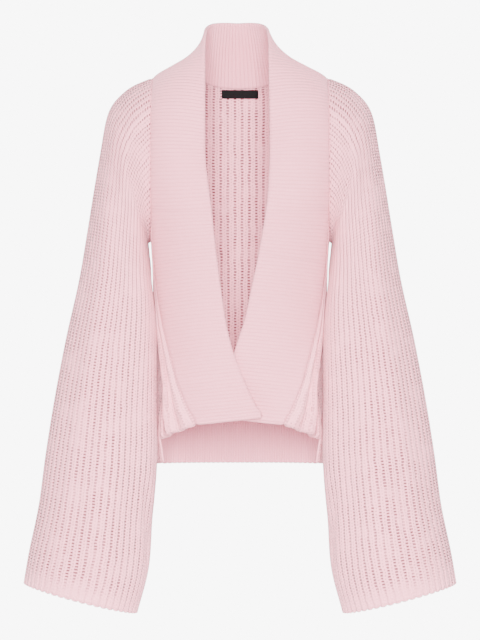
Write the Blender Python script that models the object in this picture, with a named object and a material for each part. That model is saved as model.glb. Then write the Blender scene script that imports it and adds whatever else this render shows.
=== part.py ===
"""Oversized wrap cardigan in chunky rib knit, filled out as if worn.

The sizes are in millimetres and become metres when a mesh is made. +Z is up and the front
looks along -Y. The origin lies between the shoulders, where the wearer carries the garment.
In the tables x is measured outwards from the middle of the body, on the piece's own side.
The right side is the wearer's right, at -X, and its front lies over the left one.
"""

import math

import bpy
import numpy as np

MM = 0.001
RIGHT, LEFT = -1, 1

# Cloth
HALF_WALL = 1.5
SEAM_GAP = 0.3
INNER_EDGE_INSET = 1.0
CHUNKY_RIB_HEIGHT = 1.5
BAND_RIB_HEIGHT = 1.0
BAND_RIB_PITCH = 6.4
SLEEVE_RIBS = 40
BACK_RIBS = 24
SIDE_RIBS = 9
FRONT_RIBS = 6

# Armhole, an upright ellipse beside the body
ARMHOLE_X = 122.5
ARMHOLE_MID_Y, ARMHOLE_HALF_DEPTH = 5.0, 80.0
ARMHOLE_MID_Z, ARMHOLE_HALF_HEIGHT = -118.5, 112.5
UNDERARM_FRONT, UNDERARM_BACK = 130.0, 205.0

# Sleeve rings, from the armhole to the cuff: the ring's outer and inner ends and its depth
# Columns: out_x, out_z, in_x, in_z, mid_y, half_depth
SLEEVE_RINGS = (
    (122.5, -6, 122.5, -231, 5, 80),
    (147.5, -17, 128, -234, 3, 80),
    (163, -28.5, 130, -239, 0, 79),
    (177, -45, 129.5, -245, -4, 77),
    (185, -67, 128.5, -253, -9, 75),
    (191.8, -108, 127, -264, -16, 72),
    (200.3, -161, 125.5, -277, -25, 70),
    (209, -219, 123, -297, -36, 67),
    (220.5, -290, 119, -327, -48, 64),
    (237.5, -368, 117, -378, -57, 61),
    (253, -450, 117, -455, -61, 60),
    (265.5, -528, 116.5, -536, -62, 60),
    (275, -598, 122.5, -614, -61, 60),
    (288, -660, 128, -684, -60, 61),
    (296, -705, 143.5, -745, -58, 60),
)
# At the armhole the ribs crowd towards the shoulder, and even out further down
RIB_CROWDING, CROWDING_ENDS = 0.4, 0.6

# Soft troughs in a sleeve: where each begins and ends along it, its place round it in
# degrees from the outer edge towards the front, its half width in degrees and its depth
# Columns: begins, ends, from_angle, to_angle, half_width, depth
SLEEVE_FOLDS = (
    (0.18, 0.80, 106, 86, 26, 10.0),
    (0.60, 0.98, 124, 132, 20, 5.0),
    (0.42, 0.96, 50, 42, 20, 4.5),
    (0.30, 0.88, 262, 272, 26, 9.0),
    (0.55, 0.97, 226, 236, 20, 5.0),
)

# Wide band: its sewn edge, from the front hem up to the middle of the back neck. The way
# out is the direction the cloth faces there.
# Columns: x, y, z, out_x, out_y, out_z
SEWN_LOWER = (
    (61, -107, -480, 0.35, -0.93, 0),
    (72, -103, -462, 0.42, -0.90, 0),
    (86, -95, -428, 0.50, -0.86, 0),
    (96, -82, -390, 0.60, -0.80, 0),
    (106, -69, -350, 0.72, -0.69, 0),
    (113, -58, -312, 0.84, -0.54, 0),
    (118.5, -50, -265, 0.90, -0.44, 0),
)
SEWN_ARMHOLE_ANGLES = (130, 114, 94, 72, 48, 22, 0)
SEWN_SHOULDER = (
    (103, 9, 2, 0.10, 0.10, 0.99),
    (84, 15, 8, 0.30, 0.15, 0.94),
    (66, 32, 3.2, 0.50, 0.35, 0.79),
    (48, 52, -7.6, 0.45, 0.65, 0.60),
    (26, 67, -12.5, 0.20, 0.85, 0.48),
    (0, 75, -14, 0.0, 0.90, 0.43),
)
# The band's free edge opposite each point of the sewn edge, and how far the band bulges
# between them. Below the crossing the left front lies behind the right one.
# Columns: z, right_x, right_y, right_bulge, left_x, left_y, left_bulge
FREE_EDGE = (
    (-470, -28.0, -121, 5, -27.0, -102, -1),
    (-452, -16.5, -121, 6, -22.0, -105, 0),
    (-417, -1.2, -120, 8, -14.0, -109, 4),
    (-380, 12.3, -119, 10, -4.8, -112, 8),
    (-340, 21.2, -117, 12, 8.1, -114, 11),
    (-301, 26.9, -115, 13, 16.2, -114, 13),
    (-255, 33.0, -112, 14, 26.0, -112, 14),
    (-193, 39.8, -107, 14, 36.5, -107, 14),
    (-163, 43.6, -103, 13, 39.6, -103, 13),
    (-126, 47.8, -97, 12, 41.4, -97, 12),
    (-88, 48.6, -90, 10, 41.5, -90, 10),
    (-45, 48.7, -80, 9, 41.2, -80, 9),
    (-9, 48.9, -67, 8, 40.7, -67, 8),
    (18, 49.0, -52, 6, 40.5, -52, 6),
    (39, 49.0, -32, 0, 40.3, -32, 0),
    (56, 48.3, -8, -3.5, 39.3, -8, -3.5),
    (67, 46.8, 17, -2, 37.0, 17, -2),
    (75, 39.5, 42, 0, 29.6, 42, 0),
    (78, 21.0, 58, 2, 15.0, 58, 2),
    (78, 3.0, 64, 2, -3.0, 64, 2),
)
BAND_ROWS_ACROSS = 5
BAND_TURN_UP_STEPS = 7
BAND_TOP_ROW = len(FREE_EDGE) - 1
SHOULDER_CORNER_ROW = len(SEWN_LOWER) + len(SEWN_ARMHOLE_ANGLES) - 1

# Front hem, turned under
HEM_ROLL_RADIUS = 4.5
HEM_TURN_UP = 22.0
HEM_FOLD_STEPS = 5

# Front side panel: its side edge opposite the band's lower rows
PANEL_SIDE_EDGE = (
    (112, -47, -502, 0.92, -0.40, 0),
    (110, -50, -476, 0.90, -0.43, 0),
    (103, -54, -434, 0.88, -0.47, 0),
    (107, -51, -399, 0.90, -0.43, 0),
    (113.5, -49, -357, 0.92, -0.40, 0),
    (116.5, -48, -313, 0.92, -0.40, 0),
    (119, -48, -265, 0.92, -0.40, 0),
)
PANEL_BULGES = (7, 7, 6, 5, 3, 1, 0)
# Soft ridges of the panel, which run down it beside the band and fade upwards
PANEL_RIDGES, RIDGE_HEIGHTS = 2.5, (5.0, 5.5, 5.0, 3.5, 1.5, 0.5, 0)

# Side panel below the armhole: the points of its widest line and of its back edge, and the
# lowest points of its front edge, which runs free below the front hem
SIDE_WIDEST = (
    (120, 4, -267), (119, 6, -313), (118, 8, -356), (117, 8, -398), (117, 8, -434),
    (117, 8, -476), (116.5, 8, -502), (116.5, 8, -520), (116.5, 8, -543),
)
SIDE_BACK_EDGE = (
    (118.5, 43, -266), (116, 49, -311), (113.5, 53, -355), (112, 54, -397), (111, 55, -433),
    (111, 55, -478), (110.5, 55, -502), (110, 55, -522), (110, 54, -545),
)
SIDE_LOW_FRONT = ((109, -42, -518), (106, -38, -540))
SIDE_BACK_WAY_OUT = (0.90, 0.43, 0)
HEM_BAND_FIRST_ROW = 6
BACK_ROWS_AT_ARMHOLE = (-6, -13, -30, -60, -100, -143, -178, -203, -220.5)

# Back: the depth of its middle line at each height
BACK_MIDDLE = ((-13, 75), (-60, 84), (-120, 90), (-200, 92), (-300, 89), (-400, 86), (-478, 85), (-545, 83))
BACK_SQUARENESS = 2.5

# Neck label, a plain woven strip inside the back neck
LABEL_WIDTH, LABEL_HEIGHT, LABEL_THICKNESS = 52.0, 12.0, 0.8
LABEL_TOP_Z, LABEL_COLUMNS, LABEL_CLEARANCE = -15.5, 8, 2.3

# A sleeve keeps this far from the body, measured between the middles of the two walls
SLEEVE_CLEARANCE = 6.5
CLEARANCE_TOP_Z, CLEARANCE_FULL_Z = -222.0, -246.0
BODY_SECTION_MID_Y = 8.0


def unit(vectors):
    """The same directions, each of length one."""
    vectors = np.asarray(vectors, float)
    return vectors / np.maximum(np.linalg.norm(vectors, axis=-1, keepdims=True), 1e-9)


def read_table(rows, where, slopes_from_neighbours):
    """A table read smoothly between its rows. where counts rows."""
    rows = np.asarray(rows, float)
    steps = np.diff(rows, axis=0)
    slopes = np.concatenate([steps[:1], (steps[:-1] + steps[1:]) / 2, steps[-1:]])
    if not slopes_from_neighbours:
        product = steps[:-1] * steps[1:]
        total = np.where(steps[:-1] + steps[1:] == 0, 1, steps[:-1] + steps[1:])
        slopes[1:-1] = np.where(product > 0, 2 * product / total, 0)
    where = np.clip(np.asarray(where, float), 0, len(rows) - 1)
    first = np.minimum(where.astype(int), len(rows) - 2)
    f = (where - first)[..., None]
    ease = f * f * (3 - 2 * f)
    rise = f * (1 - f) ** 2
    fall = f * f * (1 - f)
    between = rows[first] * (1 - ease) + rows[first + 1] * ease
    return between + slopes[first] * rise - slopes[first + 1] * fall


def smooth(rows, where):
    """A rounded reading, for shapes."""
    return read_table(rows, where, True)


def steady(rows, where):
    """A reading with no overshoot, for edges that lie against a neighbour."""
    return read_table(rows, where, False)


def armhole_point(degrees):
    """A point of the armhole. 0 is its top, 90 its front and 180 the underarm."""
    angle = np.radians(np.asarray(degrees, float))
    return np.stack([
        np.full(angle.shape, ARMHOLE_X),
        ARMHOLE_MID_Y - ARMHOLE_HALF_DEPTH * np.sin(angle),
        ARMHOLE_MID_Z + ARMHOLE_HALF_HEIGHT * np.cos(angle),
    ], axis=-1)


def armhole_way_out(degrees):
    """The direction that cloth faces at the armhole seam, leaning outwards below."""
    angle = np.radians(np.asarray(degrees, float))
    ring = unit(np.stack([
        np.zeros(angle.shape),
        -np.sin(angle) / ARMHOLE_HALF_DEPTH,
        np.cos(angle) / ARMHOLE_HALF_HEIGHT,
    ], axis=-1))
    lean = 0.08 + 0.35 * ((1 - np.cos(angle)) / 2) ** 2
    ring[..., 0] += lean
    return unit(ring)


def straight(rows, where):
    """A table read in straight lines between its rows."""
    rows = np.asarray(rows, float)
    where = np.asarray(where, float)
    return np.stack([np.interp(where, np.arange(len(rows)), line) for line in rows.T], axis=-1)


def half_sewn_edge(rows):
    """The band's sewn edge and the way out there, from the front hem up to the back neck.

    It is straight between the rows below the armhole, where a panel's rows meet it."""
    first, last = len(SEWN_LOWER), SHOULDER_CORNER_ROW
    corners = np.concatenate(
        [armhole_point([UNDERARM_FRONT, 0]), armhole_way_out([UNDERARM_FRONT, 0])], axis=1
    )
    below = straight(np.concatenate([SEWN_LOWER, corners[:1]]), rows)
    above = steady(np.concatenate([corners[1:], SEWN_SHOULDER]), rows - last)
    angles = np.interp(rows, np.arange(first, last + 1), SEWN_ARMHOLE_ANGLES)
    around = np.concatenate([armhole_point(angles), armhole_way_out(angles)], axis=-1)
    rows = rows[..., None]
    return np.where(rows < first, below, np.where(rows <= last, around, above))


def sewn_edge(rows):
    """The whole sewn edge, from the right hem round the neck to the left hem."""
    rows = np.asarray(rows, float)
    on_left = rows > BAND_TOP_ROW
    edge = half_sewn_edge(np.where(on_left, 2 * BAND_TOP_ROW - rows, rows))
    edge[..., [0, 3]] *= np.where(on_left, LEFT, RIGHT)[..., None]
    return edge


def free_edge_table():
    """The free edge's points and the bulge, from the right hem round to the left hem."""
    free = np.array(FREE_EDGE, float)
    halves = []
    for side, first in ((RIGHT, 1), (LEFT, 4)):
        columns = [free[:, first] * side, free[:, first + 1], free[:, 0], free[:, first + 2]]
        halves.append(np.stack(columns, axis=1))
    return np.concatenate([halves[0], halves[1][-2::-1]])


def rolled_under(hem, way_out, length):
    """Points of cloth that turns under at the hem, at a length past it, and the way out there."""
    length = np.asarray(length, float)[..., None]
    turned = np.minimum(length / HEM_ROLL_RADIUS, math.pi)
    climbed = np.maximum(length - math.pi * HEM_ROLL_RADIUS, 0)
    down = np.array([0, 0, -1.0])
    points = (
        hem
        + down * HEM_ROLL_RADIUS * np.sin(turned)
        - way_out * HEM_ROLL_RADIUS * (1 - np.cos(turned))
        - down * climbed
    )
    return points, way_out * np.cos(turned) + down * np.sin(turned)


def hem_lengths(straight_steps):
    """Lengths past the hem for the rows of the fold and, behind the cloth, of the turn-up."""
    fold = math.pi * HEM_ROLL_RADIUS
    bent = fold * np.arange(1, HEM_FOLD_STEPS + 1) / HEM_FOLD_STEPS
    return np.concatenate([bent, fold + HEM_TURN_UP * np.arange(1, straight_steps + 1) / straight_steps])


class Band:
    """The wide band's middle surface, by the length along it and the share across it."""

    def __init__(self):
        self.free = free_edge_table()
        self.rows = np.linspace(0, len(self.free) - 1, 1561)
        sewn = sewn_edge(self.rows)
        free = smooth(self.free, self.rows)
        middle = (sewn[:, :3] + free[:, :3]) / 2
        steps = np.linalg.norm(np.diff(middle, axis=0), axis=1)
        self.lengths = np.concatenate([[0], np.cumsum(steps)])
        self.length = self.lengths[-1]
        normal = unit(np.cross(free[:, :3] - sewn[:, :3], unit(np.gradient(middle, axis=0))))
        self.bulge_way = normal * np.sign(np.sum(normal * sewn[:, 3:], axis=1).mean())

    def row_at(self, along):
        return np.interp(along, self.lengths, self.rows)

    def sheet(self, along, across):
        rows = self.row_at(along)
        sewn = sewn_edge(rows)[..., :3]
        free = smooth(self.free, rows)
        way = np.stack([np.interp(rows, self.rows, line) for line in self.bulge_way.T], axis=-1)
        share = np.asarray(across, float)[..., None]
        between = sewn * (1 - share) + free[..., :3] * share
        return between + way * free[..., 3:] * 4 * share * (1 - share)

    def hem_way_out(self, along, across):
        sewn = unit(sewn_edge(self.row_at(along))[..., 3:])
        share = np.asarray(across, float)[..., None]
        return unit(sewn * (1 - share) + np.array([0, -1.0, 0]) * share)

    def point(self, along, across):
        along, across = np.broadcast_arrays(np.asarray(along, float), np.asarray(across, float))
        inside = np.clip(along, 0, self.length)
        over = np.maximum(-along, along - self.length)
        climbed = np.maximum(over - math.pi * HEM_ROLL_RADIUS, 0)
        opposite = np.where(along < 0, climbed, self.length - climbed)
        way = self.hem_way_out(inside, across)
        turned, _ = rolled_under(self.sheet(inside, across), way, over - climbed)
        behind = self.sheet(opposite, across) - 2 * HEM_ROLL_RADIUS * way
        beyond = np.where(climbed[..., None] > 0, behind, turned)
        return np.where(over[..., None] > 0, beyond, self.sheet(inside, across))

    def sewn_way_out(self, along):
        along = np.asarray(along, float)
        way = unit(sewn_edge(self.row_at(along))[..., 3:])
        over = np.maximum(np.maximum(-along, along - self.length), 0)
        _, rolled = rolled_under(np.zeros(3), way, over)
        return np.where(over[..., None] > 0, rolled, way)


def sleeve_angle(share, along):
    """The angle round the sleeve of a rib, which crowds to the shoulder near the armhole."""
    turn = 2 * math.pi * share
    fade = np.clip(1 - along / CROWDING_ENDS, 0, 1)
    return turn - RIB_CROWDING * fade**2 * np.sin(turn)


def body_half_width(y, z):
    """How far out the body's side reaches at a depth and height, below the armhole."""
    widest = np.array(SIDE_WIDEST, float)[::-1]
    front = np.array(PANEL_SIDE_EDGE, float)
    half = np.interp(z, widest[:, 2], widest[:, 0])
    front_x = np.interp(z, front[:, 2], front[:, 0])
    front_y = np.interp(z, front[:, 2], front[:, 1])
    share = np.clip(front_x / half, 0, 0.985)
    depth = (BODY_SECTION_MID_Y - front_y) / (1 - share**BACK_SQUARENESS) ** (1 / BACK_SQUARENESS)
    clear = SLEEVE_CLEARANCE * np.clip(
        (CLEARANCE_TOP_Z - z) / (CLEARANCE_TOP_Z - CLEARANCE_FULL_Z), 0, 1
    )
    reach = np.clip(np.abs(y - BODY_SECTION_MID_Y) / (depth + clear), 0, 1)
    return (half + clear) * (1 - reach**BACK_SQUARENESS) ** (1 / BACK_SQUARENESS)


def sleeve_point(share, along):
    """The sleeve's middle surface, on its own side. share goes round it, along runs down it."""
    share, along = np.broadcast_arrays(np.asarray(share, float), np.asarray(along, float))
    ring = smooth(SLEEVE_RINGS, along * (len(SLEEVE_RINGS) - 1))
    out_x, out_z, in_x, in_z, mid_y, half_depth = np.moveaxis(ring, -1, 0)
    angle = sleeve_angle(share, along)
    middle = np.stack([(out_x + in_x) / 2, mid_y, (out_z + in_z) / 2], axis=-1)
    points = middle + np.stack([
        np.cos(angle) * (out_x - in_x) / 2,
        -np.sin(angle) * half_depth,
        np.cos(angle) * (out_z - in_z) / 2,
    ], axis=-1)
    inwards = unit(middle - points)
    for begins, ends, from_angle, to_angle, half_width, depth in SLEEVE_FOLDS:
        travelled = np.clip((along - begins) / (ends - begins), 0, 1)
        centre = np.radians(from_angle + (to_angle - from_angle) * travelled)
        off = (angle - centre + math.pi) % (2 * math.pi) - math.pi
        strength = np.sin(math.pi * travelled) * np.exp(-(off / math.radians(half_width)) ** 2)
        points = points + inwards * (depth * strength)[..., None]
    y, z = points[..., 1], points[..., 2]
    limit = np.where(z < CLEARANCE_TOP_Z, body_half_width(y, z), 0)
    points[..., 0] = np.maximum(points[..., 0], limit)
    return points


def panel_sheet(across, where):
    """A front side panel above its hem fold, and the way out there. where counts table rows."""
    share = across[..., None]
    edge = straight(PANEL_SIDE_EDGE, where)
    seam = straight(SEWN_LOWER, where)
    flat = edge * (1 - share) + seam * share
    way = unit(flat[..., 3:])
    rows = np.arange(len(PANEL_BULGES))
    bulge = np.interp(where, rows, PANEL_BULGES)[..., None] * 4 * share * (1 - share)
    height = np.interp(where, rows, RIDGE_HEIGHTS)[..., None]
    ridges = height * np.sin(math.pi * share) * np.cos(2 * math.pi * PANEL_RIDGES * share)
    return flat[..., :3] + way * (bulge + ridges), way


def panel_point(side, across, down):
    """A front side panel. across runs from the side edge to the band, down counts table rows
    and then the length past the hem."""
    across, down = np.broadcast_arrays(np.asarray(across, float), np.asarray(down, float))
    rows = len(PANEL_SIDE_EDGE) - 1
    over = np.maximum(down - rows, 0)
    climbed = np.maximum(over - math.pi * HEM_ROLL_RADIUS, 0)
    hem, way = panel_sheet(across, rows - np.minimum(down, rows))
    turned, turned_way = rolled_under(hem, way, over - climbed)
    last_row = np.linalg.norm(np.subtract(PANEL_SIDE_EDGE[1][:3], PANEL_SIDE_EDGE[0][:3]))
    behind = panel_sheet(across, climbed / last_row)[0] - 2 * HEM_ROLL_RADIUS * way
    points = np.where(climbed[..., None] > 0, behind, np.where(over[..., None] > 0, turned, hem))
    flip = np.array([side, 1, 1])
    return points * flip, np.where(over[..., None] > 0, turned_way, way) * flip


def side_rows():
    """The side panel's front edge, widest line and back edge, from the underarm down."""
    panel = np.array(PANEL_SIDE_EDGE, float)[::-1, :3]
    front = np.concatenate([
        armhole_point([UNDERARM_FRONT]), panel, np.array(SIDE_LOW_FRONT, float)
    ])
    middle = armhole_point([(UNDERARM_FRONT + UNDERARM_BACK) / 2])
    widest = np.concatenate([middle, np.array(SIDE_WIDEST, float)])
    back = np.concatenate([armhole_point([UNDERARM_BACK]), np.array(SIDE_BACK_EDGE, float)])
    return front, widest, back


def side_point(side, across, down):
    """A side panel. across runs from its front edge to its back edge, down counts rows."""
    across, down = np.broadcast_arrays(np.asarray(across, float), np.asarray(down, float))
    share = across[..., None]

    def through(where):
        front, widest, back = (straight(rows, where) for rows in side_rows())
        return (
            front * 2 * (share - 0.5) * (share - 1)
            + widest * 4 * share * (1 - share)
            + back * 2 * share * (share - 0.5)
        )

    armhole = armhole_point(UNDERARM_FRONT + (UNDERARM_BACK - UNDERARM_FRONT) * across)
    near_top = np.clip(1 - down, 0, 1)[..., None] ** 2
    points = through(down) + (armhole - through(down * 0)) * near_top
    return points * np.array([side, 1, 1])


class Back:
    """The back panel and, below it, the hem band, by the share across and the way down."""

    def __init__(self):
        rows = np.linspace(SHOULDER_CORNER_ROW, 2 * BAND_TOP_ROW - SHOULDER_CORNER_ROW, 401)
        top = sewn_edge(rows)
        self.top, self.top_way = top[:, :3], unit(top[:, 3:])
        angles = np.linspace(360, UNDERARM_BACK, 60)
        below = np.array(SIDE_BACK_EDGE, float)
        self.edge = np.concatenate([armhole_point(angles), below])
        below_way = np.tile(unit(SIDE_BACK_WAY_OUT), (len(below), 1))
        self.edge_way = np.concatenate([armhole_way_out(angles), below_way])
        steps = np.linalg.norm(np.diff(self.edge, axis=0), axis=1)
        self.lengths = np.concatenate([[0], np.cumsum(steps)])

    def down_at(self, z):
        """How far down the side edge a height lies."""
        return np.interp(-z, -self.edge[:, 2], self.lengths)

    def edge_at(self, down):
        return np.stack([np.interp(down, self.lengths, self.edge[:, i]) for i in range(3)], axis=-1)

    def edge_way_out(self, down):
        way = [np.interp(down, self.lengths, self.edge_way[:, i]) for i in range(3)]
        return unit(np.stack(way, axis=-1))

    def top_at(self, x):
        return np.stack([np.interp(x, self.top[:, 0], self.top[:, i]) for i in range(3)], axis=-1)

    def top_way_out(self, x):
        way = [np.interp(x, self.top[:, 0], self.top_way[:, i]) for i in range(3)]
        return unit(np.stack(way, axis=-1))

    def point(self, share, down):
        """share runs from -1 at the right edge to 1 at the left one."""
        share, down = np.broadcast_arrays(np.asarray(share, float), np.asarray(down, float))
        edge = self.edge_at(down)
        top = self.top_at(share * ARMHOLE_X)
        fade = np.clip(1 - down / self.lengths[-1], 0, 1) ** 3
        z = edge[..., 2] + (top[..., 2] - self.top[0, 2]) * fade
        middle = np.array(BACK_MIDDLE, float)[::-1]
        middle_y = np.interp(z, middle[:, 0], middle[:, 1])
        centre_y = self.top[len(self.top) // 2, 1]
        at_top = (top[..., 1] - ARMHOLE_MID_Y) / (centre_y - ARMHOLE_MID_Y)
        below = (1 - np.abs(share) ** BACK_SQUARENESS) ** 0.5
        settled = np.clip(down / 110.0, 0, 1)
        settled = settled * settled * (3 - 2 * settled)
        profile = at_top * (1 - settled) + below * settled
        y = edge[..., 1] + (middle_y - edge[..., 1]) * profile
        return np.stack([share * edge[..., 0], y, z], axis=-1)


def normals_of(surface, across, along, towards):
    """Numeric normals of a surface on a grid, turned to the side that towards points to."""
    step_across = 1e-3 * (across[-1] - across[0])
    step_along = 1e-3 * (along[-1] - along[0])
    a, b = np.meshgrid(across, along, indexing="ij")
    low_a, high_a = (np.clip(a + d, across[0], across[-1]) for d in (-step_across, step_across))
    low_b, high_b = (np.clip(b + d, along[0], along[-1]) for d in (-step_along, step_along))
    over = surface(high_a, b) - surface(low_a, b)
    down = surface(a, high_b) - surface(a, low_b)
    normals = unit(np.cross(over, down))
    return normals * np.sign(np.sum(normals * towards, axis=-1).mean())


def pulled_in(points, axis, first, amount):
    """The points with one boundary line moved inwards over the sheet."""
    points = points.copy()
    rows = np.moveaxis(points, axis, 0)
    edge, inner = (0, 1) if first else (-1, -2)
    rows[edge] += unit(rows[inner] - rows[edge]) * amount
    return points


class Wall:
    """A cloth wall: a ribbed outer face on a fine grid over a plain inner face on a coarse one."""

    def __init__(self, name, surface, across, along, towards, ribs_per_column, closed=False):
        self.name, self.across, self.along, self.closed = name, across, along, closed
        a, b = np.meshgrid(across, along, indexing="ij")
        self.points = surface(a, b)
        self.normals = normals_of(surface, across, along, towards(self.points, a, b))
        self.coarse = list(range(0, len(across) - (1 if closed else 0), ribs_per_column))
        if not closed and self.coarse[-1] != len(across) - 1:
            self.coarse.append(len(across) - 1)

    def face_edge(self, where, ways):
        """Sets the way out along one edge, so that two pieces meet there face to face."""
        lines = {"first_across": 0, "last_across": -1}
        if where in lines:
            self.normals[lines[where]] = ways
        else:
            self.normals[:, 0 if where == "first_along" else -1] = ways

    def build(self, rib_height, seams, material):
        """rib_height is a height for each grid point. seams names the edges that are sewn."""
        axes = {"across": 0, "along": 1}
        outer, inner = self.points, self.points
        for seam in seams:
            first, axis = seam.startswith("first"), axes[seam.split("_")[1]]
            outer = pulled_in(outer, axis, first, SEAM_GAP / 2)
            inner = pulled_in(inner, axis, first, SEAM_GAP / 2 + INNER_EDGE_INSET)
        outer = outer + self.normals * (HALF_WALL + rib_height)[..., None]
        inner = (inner - self.normals * HALF_WALL)[self.coarse]
        if self.closed:
            outer = outer[:-1]
        return self.mesh(outer, inner, material)

    def mesh(self, outer, inner, material):
        columns, rows = outer.shape[:2]
        coarse_columns = inner.shape[0]
        points = np.concatenate([outer.reshape(-1, 3), inner.reshape(-1, 3)])
        start = columns * rows

        def out(i, j):
            return (i % columns) * rows + j

        def into(i, j):
            return start + (i % coarse_columns) * rows + j

        faces = []
        for i in range(columns if self.closed else columns - 1):
            for j in range(rows - 1):
                faces.append((out(i, j), out(i + 1, j), out(i + 1, j + 1), out(i, j + 1)))
        for i in range(coarse_columns if self.closed else coarse_columns - 1):
            for j in range(rows - 1):
                faces.append((into(i, j), into(i, j + 1), into(i + 1, j + 1), into(i + 1, j)))
        for i in range(coarse_columns if self.closed else coarse_columns - 1):
            begin = self.coarse[i]
            last = i + 1 == coarse_columns
            end = columns if last else self.coarse[i + 1]
            half = (begin + end) // 2
            for j, turn in ((0, 1), (rows - 1, -1)):
                rim = [(into(i, j), out(c + 1, j), out(c, j)) for c in range(begin, half)]
                rim.append((into(i, j), into(i + 1, j), out(half, j)))
                rim += [(into(i + 1, j), out(c + 1, j), out(c, j)) for c in range(half, end)]
                faces += [face[::turn] for face in rim]
        if not self.closed:
            for j in range(rows - 1):
                faces.append((out(0, j), out(0, j + 1), into(0, j + 1), into(0, j)))
                last, coarse_last = columns - 1, coarse_columns - 1
                faces.append((
                    out(last, j + 1), out(last, j), into(coarse_last, j), into(coarse_last, j + 1)
                ))
        return make_object(self.name, points, faces, material)


def signed_volume(points, faces):
    total = 0.0
    for face in faces:
        for k in range(1, len(face) - 1):
            a, b, c = points[face[0]], points[face[k]], points[face[k + 1]]
            total += np.dot(a, np.cross(b, c))
    return total


def make_object(name, points, faces, material):
    """A mesh object in metres, with its faces pointing outwards."""
    if signed_volume(points, faces) < 0:
        faces = [face[::-1] for face in faces]
    mesh = bpy.data.meshes.new(name)
    mesh.from_pydata([tuple(p) for p in points * MM], [], faces)
    mesh.update()
    mesh.shade_smooth()
    mesh.set_sharp_from_angle(angle=math.radians(60))
    mesh.materials.append(material)
    made = bpy.data.objects.new(name, mesh)
    bpy.context.scene.collection.objects.link(made)
    return made


def make_material(name, colour, roughness):
    material = bpy.data.materials.new(name)
    material.use_nodes = True
    shader = material.node_tree.nodes["Principled BSDF"]
    shader.inputs["Base Color"].default_value = (*colour, 1)
    shader.inputs["Roughness"].default_value = roughness
    shader.inputs["Metallic"].default_value = 0.0
    return material


def rib_pattern(columns, rows, height, seam_rows=()):
    """Valley and ridge in turn across the grid, lower on the rows at a seam."""
    ridge = np.arange(columns) % 2 == 1
    pattern = np.where(ridge, height, 0.0)[:, None] * np.ones(rows)
    for row in seam_rows:
        pattern[:, row] *= 0.5
    return pattern


def make_sleeve(name, side, knit):
    def surface(share, along):
        return sleeve_point(share, along) * np.array([side, 1, 1])

    def towards(points, share, along):
        return points - surface(share * 0 + np.mod(share + 0.5, 1), along)

    across = np.linspace(0, 1, 2 * SLEEVE_RIBS + 1)
    along = np.array([0, 0.6, 1.3, 2, 2.6, 3.2, 4, 5, 6, 7, 8, 9, 10, 11, 12, 13, 14]) / 14
    wall = Wall(name, surface, across, along, towards, 4, closed=True)
    angles = np.degrees(sleeve_angle(across, 0.0))
    wall.face_edge("first_along", armhole_way_out(angles) * np.array([side, 1, 1]))
    ribs = rib_pattern(len(across), len(along), CHUNKY_RIB_HEIGHT, seam_rows=(0,))
    wall.build(ribs, ("first_along",), knit)


def make_band(band, knit):
    tail = hem_lengths(BAND_TURN_UP_STEPS)
    ribs = round(band.length / BAND_RIB_PITCH)
    between = np.linspace(0, band.length, 2 * ribs + 1)
    across = np.concatenate([-tail[::-1], between, band.length + tail])
    along = np.linspace(0, 1, BAND_ROWS_ACROSS)

    def towards(points, lengths, shares):
        return band.sewn_way_out(lengths)

    wall = Wall("neck_band", band.point, across, along, towards, 4)
    wall.face_edge("first_along", band.sewn_way_out(across))
    pattern = rib_pattern(len(across), len(along), BAND_RIB_HEIGHT, seam_rows=(0,))
    wall.build(pattern, ("first_along",), knit)


def make_back(back, knit):
    edge = np.array(SIDE_BACK_EDGE, float)[: HEM_BAND_FIRST_ROW, 2]
    down = back.down_at(np.concatenate([BACK_ROWS_AT_ARMHOLE, edge]))
    across = np.linspace(-1, 1, 2 * BACK_RIBS + 1)

    def towards(points, shares, lengths):
        return np.array([0, 1.0, 0])

    wall = Wall("back_panel", back.point, across, down, towards, 4)
    for where, side in (("first_across", RIGHT), ("last_across", LEFT)):
        wall.face_edge(where, back.edge_way_out(down) * np.array([side, 1, 1]))
    wall.face_edge("first_along", back.top_way_out(across * ARMHOLE_X))
    pattern = rib_pattern(len(across), len(down), CHUNKY_RIB_HEIGHT, seam_rows=(0, -1))
    seams = ("first_across", "last_across", "first_along", "last_along")
    wall.build(pattern, seams, knit)


def make_hem_band(back, knit):
    down = back.down_at(np.array(SIDE_BACK_EDGE, float)[HEM_BAND_FIRST_ROW - 1 :, 2])
    across = np.linspace(-1, 1, 2 * BACK_RIBS + 1)

    def towards(points, shares, lengths):
        return np.array([0, 1.0, 0])

    wall = Wall("back_hem_band", back.point, across, down, towards, 4)
    for where, side in (("first_across", RIGHT), ("last_across", LEFT)):
        wall.face_edge(where, back.edge_way_out(down) * np.array([side, 1, 1]))
    pattern = rib_pattern(len(across), len(down), CHUNKY_RIB_HEIGHT, seam_rows=(0,))
    wall.build(pattern, ("first_across", "last_across", "first_along"), knit)


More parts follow.
